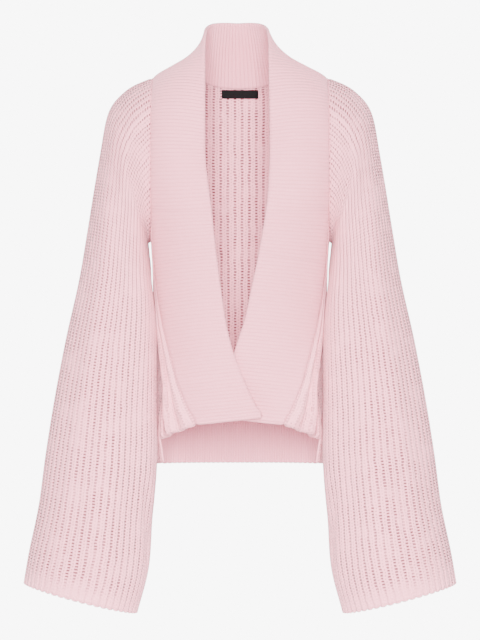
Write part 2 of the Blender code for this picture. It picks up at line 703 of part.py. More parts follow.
def make_side_panel(name, side, knit):
    across = np.linspace(0, 1, 2 * SIDE_RIBS + 1)
    down = np.arange(len(SIDE_WIDEST) + 1, dtype=float)

    def surface(shares, rows):
        return side_point(side, shares, rows)

    def towards(points, shares, rows):
        return np.array([side, 0, 0])

    wall = Wall(name, surface, across, down, towards, 3)
    flip = np.array([side, 1, 1])
    panel_ways = np.array(PANEL_SIDE_EDGE, float)[::-1, 3:]
    front_ways = np.concatenate([
        armhole_way_out([UNDERARM_FRONT]), panel_ways, panel_ways[-1:], panel_ways[-1:]
    ])
    wall.face_edge("first_across", front_ways * flip)
    wall.face_edge("last_across", np.tile(unit(SIDE_BACK_WAY_OUT) * flip, (len(down), 1)))
    angles = UNDERARM_FRONT + (UNDERARM_BACK - UNDERARM_FRONT) * across
    wall.face_edge("first_along", armhole_way_out(angles) * flip)
    pattern = rib_pattern(len(across), len(down), CHUNKY_RIB_HEIGHT, seam_rows=(0,))
    wall.build(pattern, ("first_across", "last_across", "first_along"), knit)


def make_front_panel(name, side, knit):
    rows = len(PANEL_SIDE_EDGE) - 1
    down = np.concatenate([np.arange(rows + 1), rows + hem_lengths(1)])
    across = np.linspace(0, 1, 2 * FRONT_RIBS + 1)

    def surface(shares, lengths):
        return panel_point(side, shares, lengths)[0]

    def towards(points, shares, lengths):
        return panel_point(side, shares, lengths)[1]

    wall = Wall(name, surface, across, down, towards, 4)
    for where, share in (("first_across", 0.0), ("last_across", 1.0)):
        wall.face_edge(where, unit(panel_point(side, share, down)[1]))
    pattern = rib_pattern(len(across), len(down), CHUNKY_RIB_HEIGHT, seam_rows=(0,))
    pattern *= np.clip(down / rows, 0, 1)
    wall.build(pattern, ("first_across", "last_across", "first_along"), knit)


def make_label(back, cloth):
    """The label lies on the inside of the back panel, made from its points moved inwards."""
    shares = np.linspace(-1, 1, LABEL_COLUMNS + 1) * LABEL_WIDTH / 2 / ARMHOLE_X
    heights = LABEL_TOP_Z - np.linspace(0, 1, 3) * LABEL_HEIGHT
    offset = HALF_WALL + LABEL_CLEARANCE
    layers = []
    for lift in (offset, offset + LABEL_THICKNESS):
        grid = []
        for share in shares:
            downs = np.linspace(0.5, 60, 120)
            line = back.point(share, downs)
            column = [
                np.array([np.interp(-z, -line[:, 2], line[:, i]) for i in range(3)]) - [0, lift, 0]
                for z in heights
            ]
            grid.append(column)
        layers.append(np.array(grid))
    columns, rows = layers[0].shape[:2]
    points = np.concatenate([layer.reshape(-1, 3) for layer in layers])
    near = columns * rows
    faces = []
    for i in range(columns - 1):
        for j in range(rows - 1):
            a, b = i * rows + j, (i + 1) * rows + j
            faces.append((a, a + 1, b + 1, b))
            faces.append((near + a, near + b, near + b + 1, near + a + 1))
    for i in range(columns - 1):
        for j, turn in ((0, 1), (rows - 1, -1)):
            a, b = i * rows + j, (i + 1) * rows + j
            faces.append((a, b, near + b, near + a)[::turn])
    for j in range(rows - 1):
        for i, turn in ((0, -1), (columns - 1, 1)):
            a = i * rows + j
            faces.append((a, a + 1, near + a + 1, near + a)[::turn])
    make_object("neck_label", points, faces, cloth)


def main():
    for old in list(bpy.data.objects):
        bpy.data.objects.remove(old)
    chunky = make_material("chunky_rib_knit", (0.80, 0.60, 0.63), 0.9)
    fine = make_material("fine_rib_knit", (0.83, 0.66, 0.69), 0.88)
    woven = make_material("black_woven_label", (0.03, 0.03, 0.03), 0.7)
    band = Band()
    back = Back()
    make_band(band, fine)
    make_back(back, chunky)
    make_hem_band(back, fine)
    for word, side in (("right", RIGHT), ("left", LEFT)):
        make_sleeve("sleeve_" + word, side, chunky)
        make_side_panel("side_panel_" + word, side, chunky)
        make_front_panel("front_panel_" + word, side, chunky)
    make_label(back, woven)


main()
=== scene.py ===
"""Oversized wrap cardigan in pale pink rib knit, hollow and filled out as if worn.

Run as a script. Each operator dresses one group of cloth pieces, and the stage operator sets
the camera, the lights and the backdrop. Lengths in the shape tables are in millimetres. In
the tables x is measured outwards from the middle of the body, on the piece's own side. The
right side is the wearer's right, at -X, and its front lies over the left one.
"""

import math

import bpy
import numpy as np
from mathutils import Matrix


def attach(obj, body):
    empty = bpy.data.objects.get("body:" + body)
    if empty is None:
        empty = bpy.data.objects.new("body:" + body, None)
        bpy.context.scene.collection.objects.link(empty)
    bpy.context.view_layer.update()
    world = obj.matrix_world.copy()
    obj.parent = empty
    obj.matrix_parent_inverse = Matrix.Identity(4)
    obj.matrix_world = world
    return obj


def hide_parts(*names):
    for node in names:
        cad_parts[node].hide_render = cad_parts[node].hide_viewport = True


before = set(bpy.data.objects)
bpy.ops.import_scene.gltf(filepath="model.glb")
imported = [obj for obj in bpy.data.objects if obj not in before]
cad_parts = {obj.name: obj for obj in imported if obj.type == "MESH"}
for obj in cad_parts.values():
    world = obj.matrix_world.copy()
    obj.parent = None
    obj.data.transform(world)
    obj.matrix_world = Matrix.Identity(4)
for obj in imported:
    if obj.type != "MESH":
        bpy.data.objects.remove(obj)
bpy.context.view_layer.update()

bl_info = {
    "name": "Wrap cardigan",
    "version": (1, 0, 0),
    "blender": (4, 5, 0),
    "location": "3D View > Sidebar > Cardigan",
    "description": "Dresses the cardigan's pieces in knit and sets the studio around it",
    "category": "Object",
}

MM = 0.001
RIGHT, LEFT = -1, 1

# Cloth walls, about the middle of the cloth
OUTER_WALL, INNER_WALL = 1.6, 1.4
SEAM_GAP = 0.3
SEAM_BLEND = 22.0
# A rib wider than this splits in two over the next few millimetres of width
WIDE_RIB, SPLIT_RANGE = 11.8, 2.4
SEAM_DIP, SEAM_DIP_WIDTH = 0.9, 5.0
EDGE_ROUNDING = 1.3

# Armhole, an upright ellipse beside the body
ARMHOLE_X = 122.5
ARMHOLE_MID_Y, ARMHOLE_HALF_DEPTH = 5.0, 80.0
ARMHOLE_MID_Z, ARMHOLE_HALF_HEIGHT = -118.5, 112.5
UNDERARM_FRONT, UNDERARM_BACK = 130.0, 205.0

# Sleeve rings, from the armhole to the cuff: the ring's outer and inner ends and its depth
# Columns: out_x, out_z, in_x, in_z, mid_y, half_depth
SLEEVE_RINGS = (
    (122.5, -6, 122.5, -231, 5, 80),
    (147.5, -17, 128, -234, 3, 80),
    (163, -28.5, 130, -239, 0, 79),
    (177, -45, 129.5, -245, -4, 77),
    (185, -67, 128.5, -253, -9, 75),
    (191.8, -108, 127, -264, -16, 72),
    (200.3, -161, 125.5, -277, -25, 70),
    (209, -219, 123, -297, -36, 67),
    (220.5, -290, 119, -327, -48, 64),
    (237.5, -368, 117, -378, -57, 61),
    (253, -450, 117, -455, -61, 60),
    (265.5, -528, 116.5, -536, -62, 60),
    (275, -598, 122.5, -614, -61, 60),
    (288, -660, 128, -684, -60, 61),
    (296, -705, 143.5, -745, -58, 60),
)
SLEEVE_RIBS = 48
RIB_CROWDING, CROWDING_ENDS = 0.4, 0.6

# Soft troughs in a sleeve: where each begins and ends along it, its place round it in
# degrees from the outer edge towards the front, its half width in degrees and its depth
# Columns: begins, ends, from_angle, to_angle, half_width, depth
SLEEVE_FOLDS = (
    (0.18, 0.80, 106, 86, 26, 10.0),
    (0.60, 0.98, 124, 132, 20, 5.0),
    (0.42, 0.96, 50, 42, 20, 4.5),
    (0.30, 0.88, 262, 272, 26, 9.0),
    (0.55, 0.97, 226, 236, 20, 5.0),
    (0.10, 0.46, 66, 72, 11, 2.5),
    (0.32, 0.66, 128, 120, 11, 3.0),
    (0.70, 0.95, 78, 70, 12, 2.8),
    (0.80, 0.93, 150, 168, 8, 3.2),
    (0.84, 0.95, 176, 166, 8, 3.0),
    (0.14, 0.50, 292, 286, 12, 2.5),
    (0.40, 0.72, 240, 246, 11, 3.0),
    (0.68, 0.94, 312, 318, 14, 3.0),
)

# Wide band: its sewn edge and its free edge, from the front hem to the back neck
# Columns: x, y, z, out_x, out_y, out_z
SEWN_LOWER = (
    (61, -107, -480, 0.35, -0.93, 0),
    (72, -103, -462, 0.42, -0.90, 0),
    (86, -95, -428, 0.50, -0.86, 0),
    (96, -82, -390, 0.60, -0.80, 0),
    (106, -69, -350, 0.72, -0.69, 0),
    (113, -58, -312, 0.84, -0.54, 0),
    (118.5, -50, -265, 0.90, -0.44, 0),
)
SEWN_ARMHOLE_ANGLES = (130, 114, 94, 72, 48, 22, 0)
SEWN_SHOULDER = (
    (103, 9, 2, 0.10, 0.10, 0.99),
    (84, 15, 8, 0.30, 0.15, 0.94),
    (66, 32, 3.2, 0.50, 0.35, 0.79),
    (48, 52, -7.6, 0.45, 0.65, 0.60),
    (26, 67, -12.5, 0.20, 0.85, 0.48),
    (0, 75, -14, 0.0, 0.90, 0.43),
)
# Columns: z, right_x, right_y, right_bulge, left_x, left_y, left_bulge
FREE_EDGE = (
    (-470, -28.0, -121, 5, -27.0, -102, -1),
    (-452, -16.5, -121, 6, -22.0, -105, 0),
    (-417, -1.2, -120, 8, -14.0, -109, 4),
    (-380, 12.3, -119, 10, -4.8, -112, 8),
    (-340, 21.2, -117, 12, 8.1, -114, 11),
    (-301, 26.9, -115, 13, 16.2, -114, 13),
    (-255, 33.0, -112, 14, 26.0, -112, 14),
    (-193, 39.8, -107, 14, 36.5, -107, 14),
    (-163, 43.6, -103, 13, 39.6, -103, 13),
    (-126, 47.8, -97, 12, 41.4, -97, 12),
    (-88, 48.6, -90, 10, 41.5, -90, 10),
    (-45, 48.7, -80, 9, 41.2, -80, 9),
    (-9, 48.9, -67, 8, 40.7, -67, 8),
    (18, 49.0, -52, 6, 40.5, -52, 6),
    (39, 49.0, -32, 0, 40.3, -32, 0),
    (56, 48.3, -8, -3.5, 39.3, -8, -3.5),
    (67, 46.8, 17, -2, 37.0, 17, -2),
    (75, 39.5, 42, 0, 29.6, 42, 0),
    (78, 21.0, 58, 2, 15.0, 58, 2),
    (78, 3.0, 64, 2, -3.0, 64, 2),
)
BAND_TOP_ROW = len(FREE_EDGE) - 1
SHOULDER_CORNER_ROW = len(SEWN_LOWER) + len(SEWN_ARMHOLE_ANGLES) - 1

# Front hem, turned under
HEM_ROLL_RADIUS = 4.5
HEM_TURN_UP = 22.0

# Front side panel: its side edge opposite the band's lower rows, and its soft ridges
PANEL_SIDE_EDGE = (
    (112, -47, -502, 0.92, -0.40, 0),
    (110, -50, -476, 0.90, -0.43, 0),
    (103, -54, -434, 0.88, -0.47, 0),
    (107, -51, -399, 0.90, -0.43, 0),
    (113.5, -49, -357, 0.92, -0.40, 0),
    (116.5, -48, -313, 0.92, -0.40, 0),
    (119, -48, -265, 0.92, -0.40, 0),
)
PANEL_BULGES = (7, 7, 6, 5, 3, 1, 0)
PANEL_RIDGES, RIDGE_HEIGHTS = 2.5, (5.0, 5.5, 5.0, 3.5, 1.5, 0.5, 0)
PANEL_OPENNESS = 0.35

# Side panel below the armhole, and the back
SIDE_WIDEST = (
    (120, 4, -267), (119, 6, -313), (118, 8, -356), (117, 8, -398), (117, 8, -434),
    (117, 8, -476), (116.5, 8, -502), (116.5, 8, -520), (116.5, 8, -543),
)
SIDE_BACK_EDGE = (
    (118.5, 43, -266), (116, 49, -311), (113.5, 53, -355), (112, 54, -397), (111, 55, -433),
    (111, 55, -478), (110.5, 55, -502), (110, 55, -522), (110, 54, -545),
)
SIDE_LOW_FRONT = ((109, -42, -518), (106, -38, -540))
SIDE_BACK_WAY_OUT = (0.90, 0.43, 0)
HEM_BAND_TOP_Z, BACK_HEM_Z = -478.0, -545.0
BACK_MIDDLE = ((-13, 75), (-60, 84), (-120, 90), (-200, 92), (-300, 89), (-400, 86), (-478, 85), (-545, 83))
BACK_SQUARENESS = 2.5

# Neck label
LABEL_WIDTH, LABEL_HEIGHT, LABEL_THICKNESS = 52.0, 12.0, 0.8
LABEL_TOP_Z = -15.5
LABEL_THREAD = 0.8
LABEL_LIFT = 3.5
LABEL_WEFT_LIGHTER = 2.5

# A sleeve keeps this far from the body, measured between the middles of the two walls
SLEEVE_CLEARANCE = 6.5
CLEARANCE_TOP_Z, CLEARANCE_FULL_Z = -222.0, -246.0
BODY_SECTION_MID_Y = 8.0

# Camera and floor, in metres
CAMERA_DISTANCE, CAMERA_HEIGHT, CAMERA_LENS = 4.0, -0.343, 160.7
FLOOR_Z, FLOOR_RADIUS, FLOOR_SIDES = -1.25, 1.9, 96


def unit(vectors):
    """The same directions, each of length one."""
    vectors = np.asarray(vectors, float)
    return vectors / np.maximum(np.linalg.norm(vectors, axis=-1, keepdims=True), 1e-9)


def read_table(rows, where, slopes_from_neighbours):
    """A table read smoothly between its rows. where counts rows."""
    rows = np.asarray(rows, float)
    steps = np.diff(rows, axis=0)
    slopes = np.concatenate([steps[:1], (steps[:-1] + steps[1:]) / 2, steps[-1:]])
    if not slopes_from_neighbours:
        product = steps[:-1] * steps[1:]
        total = np.where(steps[:-1] + steps[1:] == 0, 1, steps[:-1] + steps[1:])
        slopes[1:-1] = np.where(product > 0, 2 * product / total, 0)
    where = np.clip(np.asarray(where, float), 0, len(rows) - 1)
    first = np.minimum(where.astype(int), len(rows) - 2)
    f = (where - first)[..., None]
    ease = f * f * (3 - 2 * f)
    rise = f * (1 - f) ** 2
    fall = f * f * (1 - f)
    between = rows[first] * (1 - ease) + rows[first + 1] * ease
    return between + slopes[first] * rise - slopes[first + 1] * fall


def smooth(rows, where):
    """A rounded reading, for shapes."""
    return read_table(rows, where, True)


def steady(rows, where):
    """A reading with no overshoot, for edges that lie against a neighbour."""
    return read_table(rows, where, False)


def straight(rows, where):
    """A table read in straight lines between its rows."""
    rows = np.asarray(rows, float)
    where = np.asarray(where, float)
    return np.stack([np.interp(where, np.arange(len(rows)), line) for line in rows.T], axis=-1)


def fade(distance, reach):
    """0 at a distance of nothing, rising smoothly to 1 at the reach."""
    share = np.clip(distance / reach, 0, 1)
    return share * share * (3 - 2 * share)


def armhole_point(degrees):
    """A point of the armhole. 0 is its top, 90 its front and 180 the underarm."""
    angle = np.radians(np.asarray(degrees, float))
    return np.stack([
        np.full(angle.shape, ARMHOLE_X),
        ARMHOLE_MID_Y - ARMHOLE_HALF_DEPTH * np.sin(angle),
        ARMHOLE_MID_Z + ARMHOLE_HALF_HEIGHT * np.cos(angle),
    ], axis=-1)


def armhole_way_out(degrees):
    """The direction that cloth faces at the armhole seam, leaning outwards below."""
    angle = np.radians(np.asarray(degrees, float))
    ring = unit(np.stack([
        np.zeros(angle.shape),
        -np.sin(angle) / ARMHOLE_HALF_DEPTH,
        np.cos(angle) / ARMHOLE_HALF_HEIGHT,
    ], axis=-1))
    ring[..., 0] += 0.08 + 0.35 * ((1 - np.cos(angle)) / 2) ** 2
    return unit(ring)


def half_sewn_edge(rows):
    """The band's sewn edge and the way out there, from the front hem up to the back neck."""
    first, last = len(SEWN_LOWER), SHOULDER_CORNER_ROW
    corners = np.concatenate(
        [armhole_point([UNDERARM_FRONT, 0]), armhole_way_out([UNDERARM_FRONT, 0])], axis=1
    )
    below = straight(np.concatenate([SEWN_LOWER, corners[:1]]), rows)
    above = steady(np.concatenate([corners[1:], SEWN_SHOULDER]), rows - last)
    angles = np.interp(rows, np.arange(first, last + 1), SEWN_ARMHOLE_ANGLES)
    around = np.concatenate([armhole_point(angles), armhole_way_out(angles)], axis=-1)
    rows = rows[..., None]
    return np.where(rows < first, below, np.where(rows <= last, around, above))


def sewn_edge(rows):
    """The whole sewn edge, from the right hem round the neck to the left hem."""
    rows = np.asarray(rows, float)
    on_left = rows > BAND_TOP_ROW
    edge = half_sewn_edge(np.where(on_left, 2 * BAND_TOP_ROW - rows, rows))
    edge[..., [0, 3]] *= np.where(on_left, LEFT, RIGHT)[..., None]
    return edge


def free_edge_table():
    """The free edge's points and the bulge, from the right hem round to the left hem."""
    free = np.array(FREE_EDGE, float)
    halves = []
    for side, first in ((RIGHT, 1), (LEFT, 4)):
        columns = [free[:, first] * side, free[:, first + 1], free[:, 0], free[:, first + 2]]
        halves.append(np.stack(columns, axis=1))
    return np.concatenate([halves[0], halves[1][-2::-1]])


def rolled_under(hem, way_out, length):
    """Points of cloth that turns under at the hem, at a length past it, and the way out there."""
    length = np.asarray(length, float)[..., None]
    turned = np.minimum(length / HEM_ROLL_RADIUS, math.pi)
    down = np.array([0, 0, -1.0])
    inwards = way_out * HEM_ROLL_RADIUS * (1 - np.cos(turned))
    points = hem + down * HEM_ROLL_RADIUS * np.sin(turned) - inwards
    return points, way_out * np.cos(turned) + down * np.sin(turned)


def hem_length():
    return math.pi * HEM_ROLL_RADIUS + HEM_TURN_UP


class Band:
    """The wide band's middle surface, by the length along it and the share across it."""

    def __init__(self):
        self.free = free_edge_table()
        self.rows = np.linspace(0, len(self.free) - 1, 1561)
        sewn = sewn_edge(self.rows)
        free = smooth(self.free, self.rows)
        middle = (sewn[:, :3] + free[:, :3]) / 2
        steps = np.linalg.norm(np.diff(middle, axis=0), axis=1)
        self.lengths = np.concatenate([[0], np.cumsum(steps)])
        self.length = self.lengths[-1]
        normal = unit(np.cross(free[:, :3] - sewn[:, :3], unit(np.gradient(middle, axis=0))))
        self.bulge_way = normal * np.sign(np.sum(normal * sewn[:, 3:], axis=1).mean())

    def row_at(self, along):
        return np.interp(along, self.lengths, self.rows)

    def sheet(self, along, across):
        rows = self.row_at(along)
        sewn = sewn_edge(rows)[..., :3]
        free = smooth(self.free, rows)
        way = np.stack([np.interp(rows, self.rows, line) for line in self.bulge_way.T], axis=-1)
        share = np.asarray(across, float)[..., None]
        between = sewn * (1 - share) + free[..., :3] * share
        return between + way * free[..., 3:] * 4 * share * (1 - share)

    def hem_way_out(self, along, across):
        sewn = unit(sewn_edge(self.row_at(along))[..., 3:])
        share = np.asarray(across, float)[..., None]
        return unit(sewn * (1 - share) + np.array([0, -1.0, 0]) * share)

    def point(self, along, across):
        along, across = np.broadcast_arrays(np.asarray(along, float), np.asarray(across, float))
        inside = np.clip(along, 0, self.length)
        over = np.maximum(-along, along - self.length)
        climbed = np.maximum(over - math.pi * HEM_ROLL_RADIUS, 0)
        opposite = np.where(along < 0, climbed, self.length - climbed)
        way = self.hem_way_out(inside, across)
        turned, _ = rolled_under(self.sheet(inside, across), way, over - climbed)
        behind = self.sheet(opposite, across) - 2 * HEM_ROLL_RADIUS * way
        beyond = np.where(climbed[..., None] > 0, behind, turned)
        return np.where(over[..., None] > 0, beyond, self.sheet(inside, across))

    def sewn_way_out(self, along):
        along = np.asarray(along, float)
        way = unit(sewn_edge(self.row_at(along))[..., 3:])
        over = np.maximum(np.maximum(-along, along - self.length), 0)
        _, rolled = rolled_under(np.zeros(3), way, over)
        return np.where(over[..., None] > 0, rolled, way)


def sleeve_angle(share, along):
    """The angle round the sleeve of a rib, which crowds to the shoulder near the armhole."""
    turn = 2 * math.pi * share
    crowded = np.clip(1 - along / CROWDING_ENDS, 0, 1)
    return turn - RIB_CROWDING * crowded**2 * np.sin(turn)


def body_half_width(y, z):
    """How far out the body's side reaches at a depth and height, below the armhole."""
    widest = np.array(SIDE_WIDEST, float)[::-1]
    front = np.array(PANEL_SIDE_EDGE, float)
    half = np.interp(z, widest[:, 2], widest[:, 0])
    front_x = np.interp(z, front[:, 2], front[:, 0])
    front_y = np.interp(z, front[:, 2], front[:, 1])
    share = np.clip(front_x / half, 0, 0.985)
    depth = (BODY_SECTION_MID_Y - front_y) / (1 - share**BACK_SQUARENESS) ** (1 / BACK_SQUARENESS)
    clear = SLEEVE_CLEARANCE * np.clip(
        (CLEARANCE_TOP_Z - z) / (CLEARANCE_TOP_Z - CLEARANCE_FULL_Z), 0, 1
    )
    reach = np.clip(np.abs(y - BODY_SECTION_MID_Y) / (depth + clear), 0, 1)
    return (half + clear) * (1 - reach**BACK_SQUARENESS) ** (1 / BACK_SQUARENESS)


def sleeve_point(share, along):
    """The sleeve's middle surface, on its own side. share goes round it, along runs down it."""
    share, along = np.broadcast_arrays(np.asarray(share, float), np.asarray(along, float))
    ring = smooth(SLEEVE_RINGS, along * (len(SLEEVE_RINGS) - 1))
    out_x, out_z, in_x, in_z, mid_y, half_depth = np.moveaxis(ring, -1, 0)
    angle = sleeve_angle(share, along)
    middle = np.stack([(out_x + in_x) / 2, mid_y, (out_z + in_z) / 2], axis=-1)
    points = middle + np.stack([
        np.cos(angle) * (out_x - in_x) / 2,
        -np.sin(angle) * half_depth,
        np.cos(angle) * (out_z - in_z) / 2,
    ], axis=-1)
    inwards = unit(middle - points)
    for begins, ends, from_angle, to_angle, half_width, depth in SLEEVE_FOLDS:
        travelled = np.clip((along - begins) / (ends - begins), 0, 1)
        centre = np.radians(from_angle + (to_angle - from_angle) * travelled)
        off = (angle - centre + math.pi) % (2 * math.pi) - math.pi
        strength = np.sin(math.pi * travelled) * np.exp(-(off / math.radians(half_width)) ** 2)
        points = points + inwards * (depth * strength)[..., None]
    y, z = points[..., 1], points[..., 2]
    limit = np.where(z < CLEARANCE_TOP_Z, body_half_width(y, z), 0)
    points[..., 0] = np.maximum(points[..., 0], limit)
    return points


def panel_sheet(across, where):
    """A front side panel above its hem fold, and the way out there. where counts table rows."""
    share = across[..., None]
    edge = straight(PANEL_SIDE_EDGE, where)
    seam = straight(SEWN_LOWER, where)
    flat = edge * (1 - share) + seam * share
    way = unit(flat[..., 3:])
    rows = np.arange(len(PANEL_BULGES))
    bulge = np.interp(where, rows, PANEL_BULGES)[..., None] * 4 * share * (1 - share)
    height = np.interp(where, rows, RIDGE_HEIGHTS)[..., None]
    ridges = height * np.sin(math.pi * share) * np.cos(2 * math.pi * PANEL_RIDGES * share)
    return flat[..., :3] + way * (bulge + ridges), way


def panel_point(side, across, down):
    """A front side panel. across runs from the side edge to the band, down counts table rows
    and then the length past the hem."""
    across, down = np.broadcast_arrays(np.asarray(across, float), np.asarray(down, float))
    rows = len(PANEL_SIDE_EDGE) - 1
    over = np.maximum(down - rows, 0)
    climbed = np.maximum(over - math.pi * HEM_ROLL_RADIUS, 0)
    hem, way = panel_sheet(across, rows - np.minimum(down, rows))
    turned, turned_way = rolled_under(hem, way, over - climbed)
    last_row = np.linalg.norm(np.subtract(PANEL_SIDE_EDGE[1][:3], PANEL_SIDE_EDGE[0][:3]))
    behind = panel_sheet(across, climbed / last_row)[0] - 2 * HEM_ROLL_RADIUS * way
    points = np.where(climbed[..., None] > 0, behind, np.where(over[..., None] > 0, turned, hem))
    flip = np.array([side, 1, 1])
    return points * flip, np.where(over[..., None] > 0, turned_way, way) * flip


def side_rows():
    """The side panel's front edge, widest line and back edge, from the underarm down."""
    panel = np.array(PANEL_SIDE_EDGE, float)[::-1, :3]
    front = np.concatenate([
        armhole_point([UNDERARM_FRONT]), panel, np.array(SIDE_LOW_FRONT, float)
    ])
    middle = armhole_point([(UNDERARM_FRONT + UNDERARM_BACK) / 2])
    widest = np.concatenate([middle, np.array(SIDE_WIDEST, float)])
    back = np.concatenate([armhole_point([UNDERARM_BACK]), np.array(SIDE_BACK_EDGE, float)])
    return front, widest, back


def side_point(side, across, down):
    """A side panel. across runs from its front edge to its back edge, down counts rows."""
    across, down = np.broadcast_arrays(np.asarray(across, float), np.asarray(down, float))
    share = across[..., None]

    def through(where):
        front, widest, back = (straight(rows, where) for rows in side_rows())
        return (
            front * 2 * (share - 0.5) * (share - 1)
            + widest * 4 * share * (1 - share)
            + back * 2 * share * (share - 0.5)
        )

    armhole = armhole_point(UNDERARM_FRONT + (UNDERARM_BACK - UNDERARM_FRONT) * across)
    near_top = np.clip(1 - down, 0, 1)[..., None] ** 2
    points = through(down) + (armhole - through(down * 0)) * near_top
    return points * np.array([side, 1, 1])


class Back:
    """The back panel and, below it, the hem band, by the share across and the way down."""

    def __init__(self):
        rows = np.linspace(SHOULDER_CORNER_ROW, 2 * BAND_TOP_ROW - SHOULDER_CORNER_ROW, 401)
        top = sewn_edge(rows)
        self.top, self.top_way = top[:, :3], unit(top[:, 3:])
        angles = np.linspace(360, UNDERARM_BACK, 60)
        below = np.array(SIDE_BACK_EDGE, float)
        self.edge = np.concatenate([armhole_point(angles), below])
        below_way = np.tile(unit(SIDE_BACK_WAY_OUT), (len(below), 1))
        self.edge_way = np.concatenate([armhole_way_out(angles), below_way])
        steps = np.linalg.norm(np.diff(self.edge, axis=0), axis=1)
        self.lengths = np.concatenate([[0], np.cumsum(steps)])

    def down_at(self, z):
        """How far down the side edge a height lies."""
        return np.interp(-z, -self.edge[:, 2], self.lengths)

    def edge_at(self, down):
        return np.stack([np.interp(down, self.lengths, line) for line in self.edge.T], axis=-1)

    def edge_way_out(self, down):
        way = [np.interp(down, self.lengths, line) for line in self.edge_way.T]
        return unit(np.stack(way, axis=-1))

    def top_at(self, x):
        return np.stack([np.interp(x, self.top[:, 0], line) for line in self.top.T], axis=-1)

    def top_way_out(self, x):
        way = [np.interp(x, self.top[:, 0], line) for line in self.top_way.T]
        return unit(np.stack(way, axis=-1))

    def point(self, share, down):
        """share runs from -1 at the right edge to 1 at the left one."""
        share, down = np.broadcast_arrays(np.asarray(share, float), np.asarray(down, float))
        edge = self.edge_at(down)
        top = self.top_at(share * ARMHOLE_X)
        near_top = np.clip(1 - down / self.lengths[-1], 0, 1) ** 3
        z = edge[..., 2] + (top[..., 2] - self.top[0, 2]) * near_top
        middle = np.array(BACK_MIDDLE, float)[::-1]
        middle_y = np.interp(z, middle[:, 0], middle[:, 1])
        centre_y = self.top[len(self.top) // 2, 1]
        at_top = (top[..., 1] - ARMHOLE_MID_Y) / (centre_y - ARMHOLE_MID_Y)
        below = (1 - np.abs(share) ** BACK_SQUARENESS) ** 0.5
        settled = fade(down, 110.0)
        profile = at_top * (1 - settled) + below * settled
        y = edge[..., 1] + (middle_y - edge[..., 1]) * profile
        return np.stack([share * edge[..., 0], y, z], axis=-1)


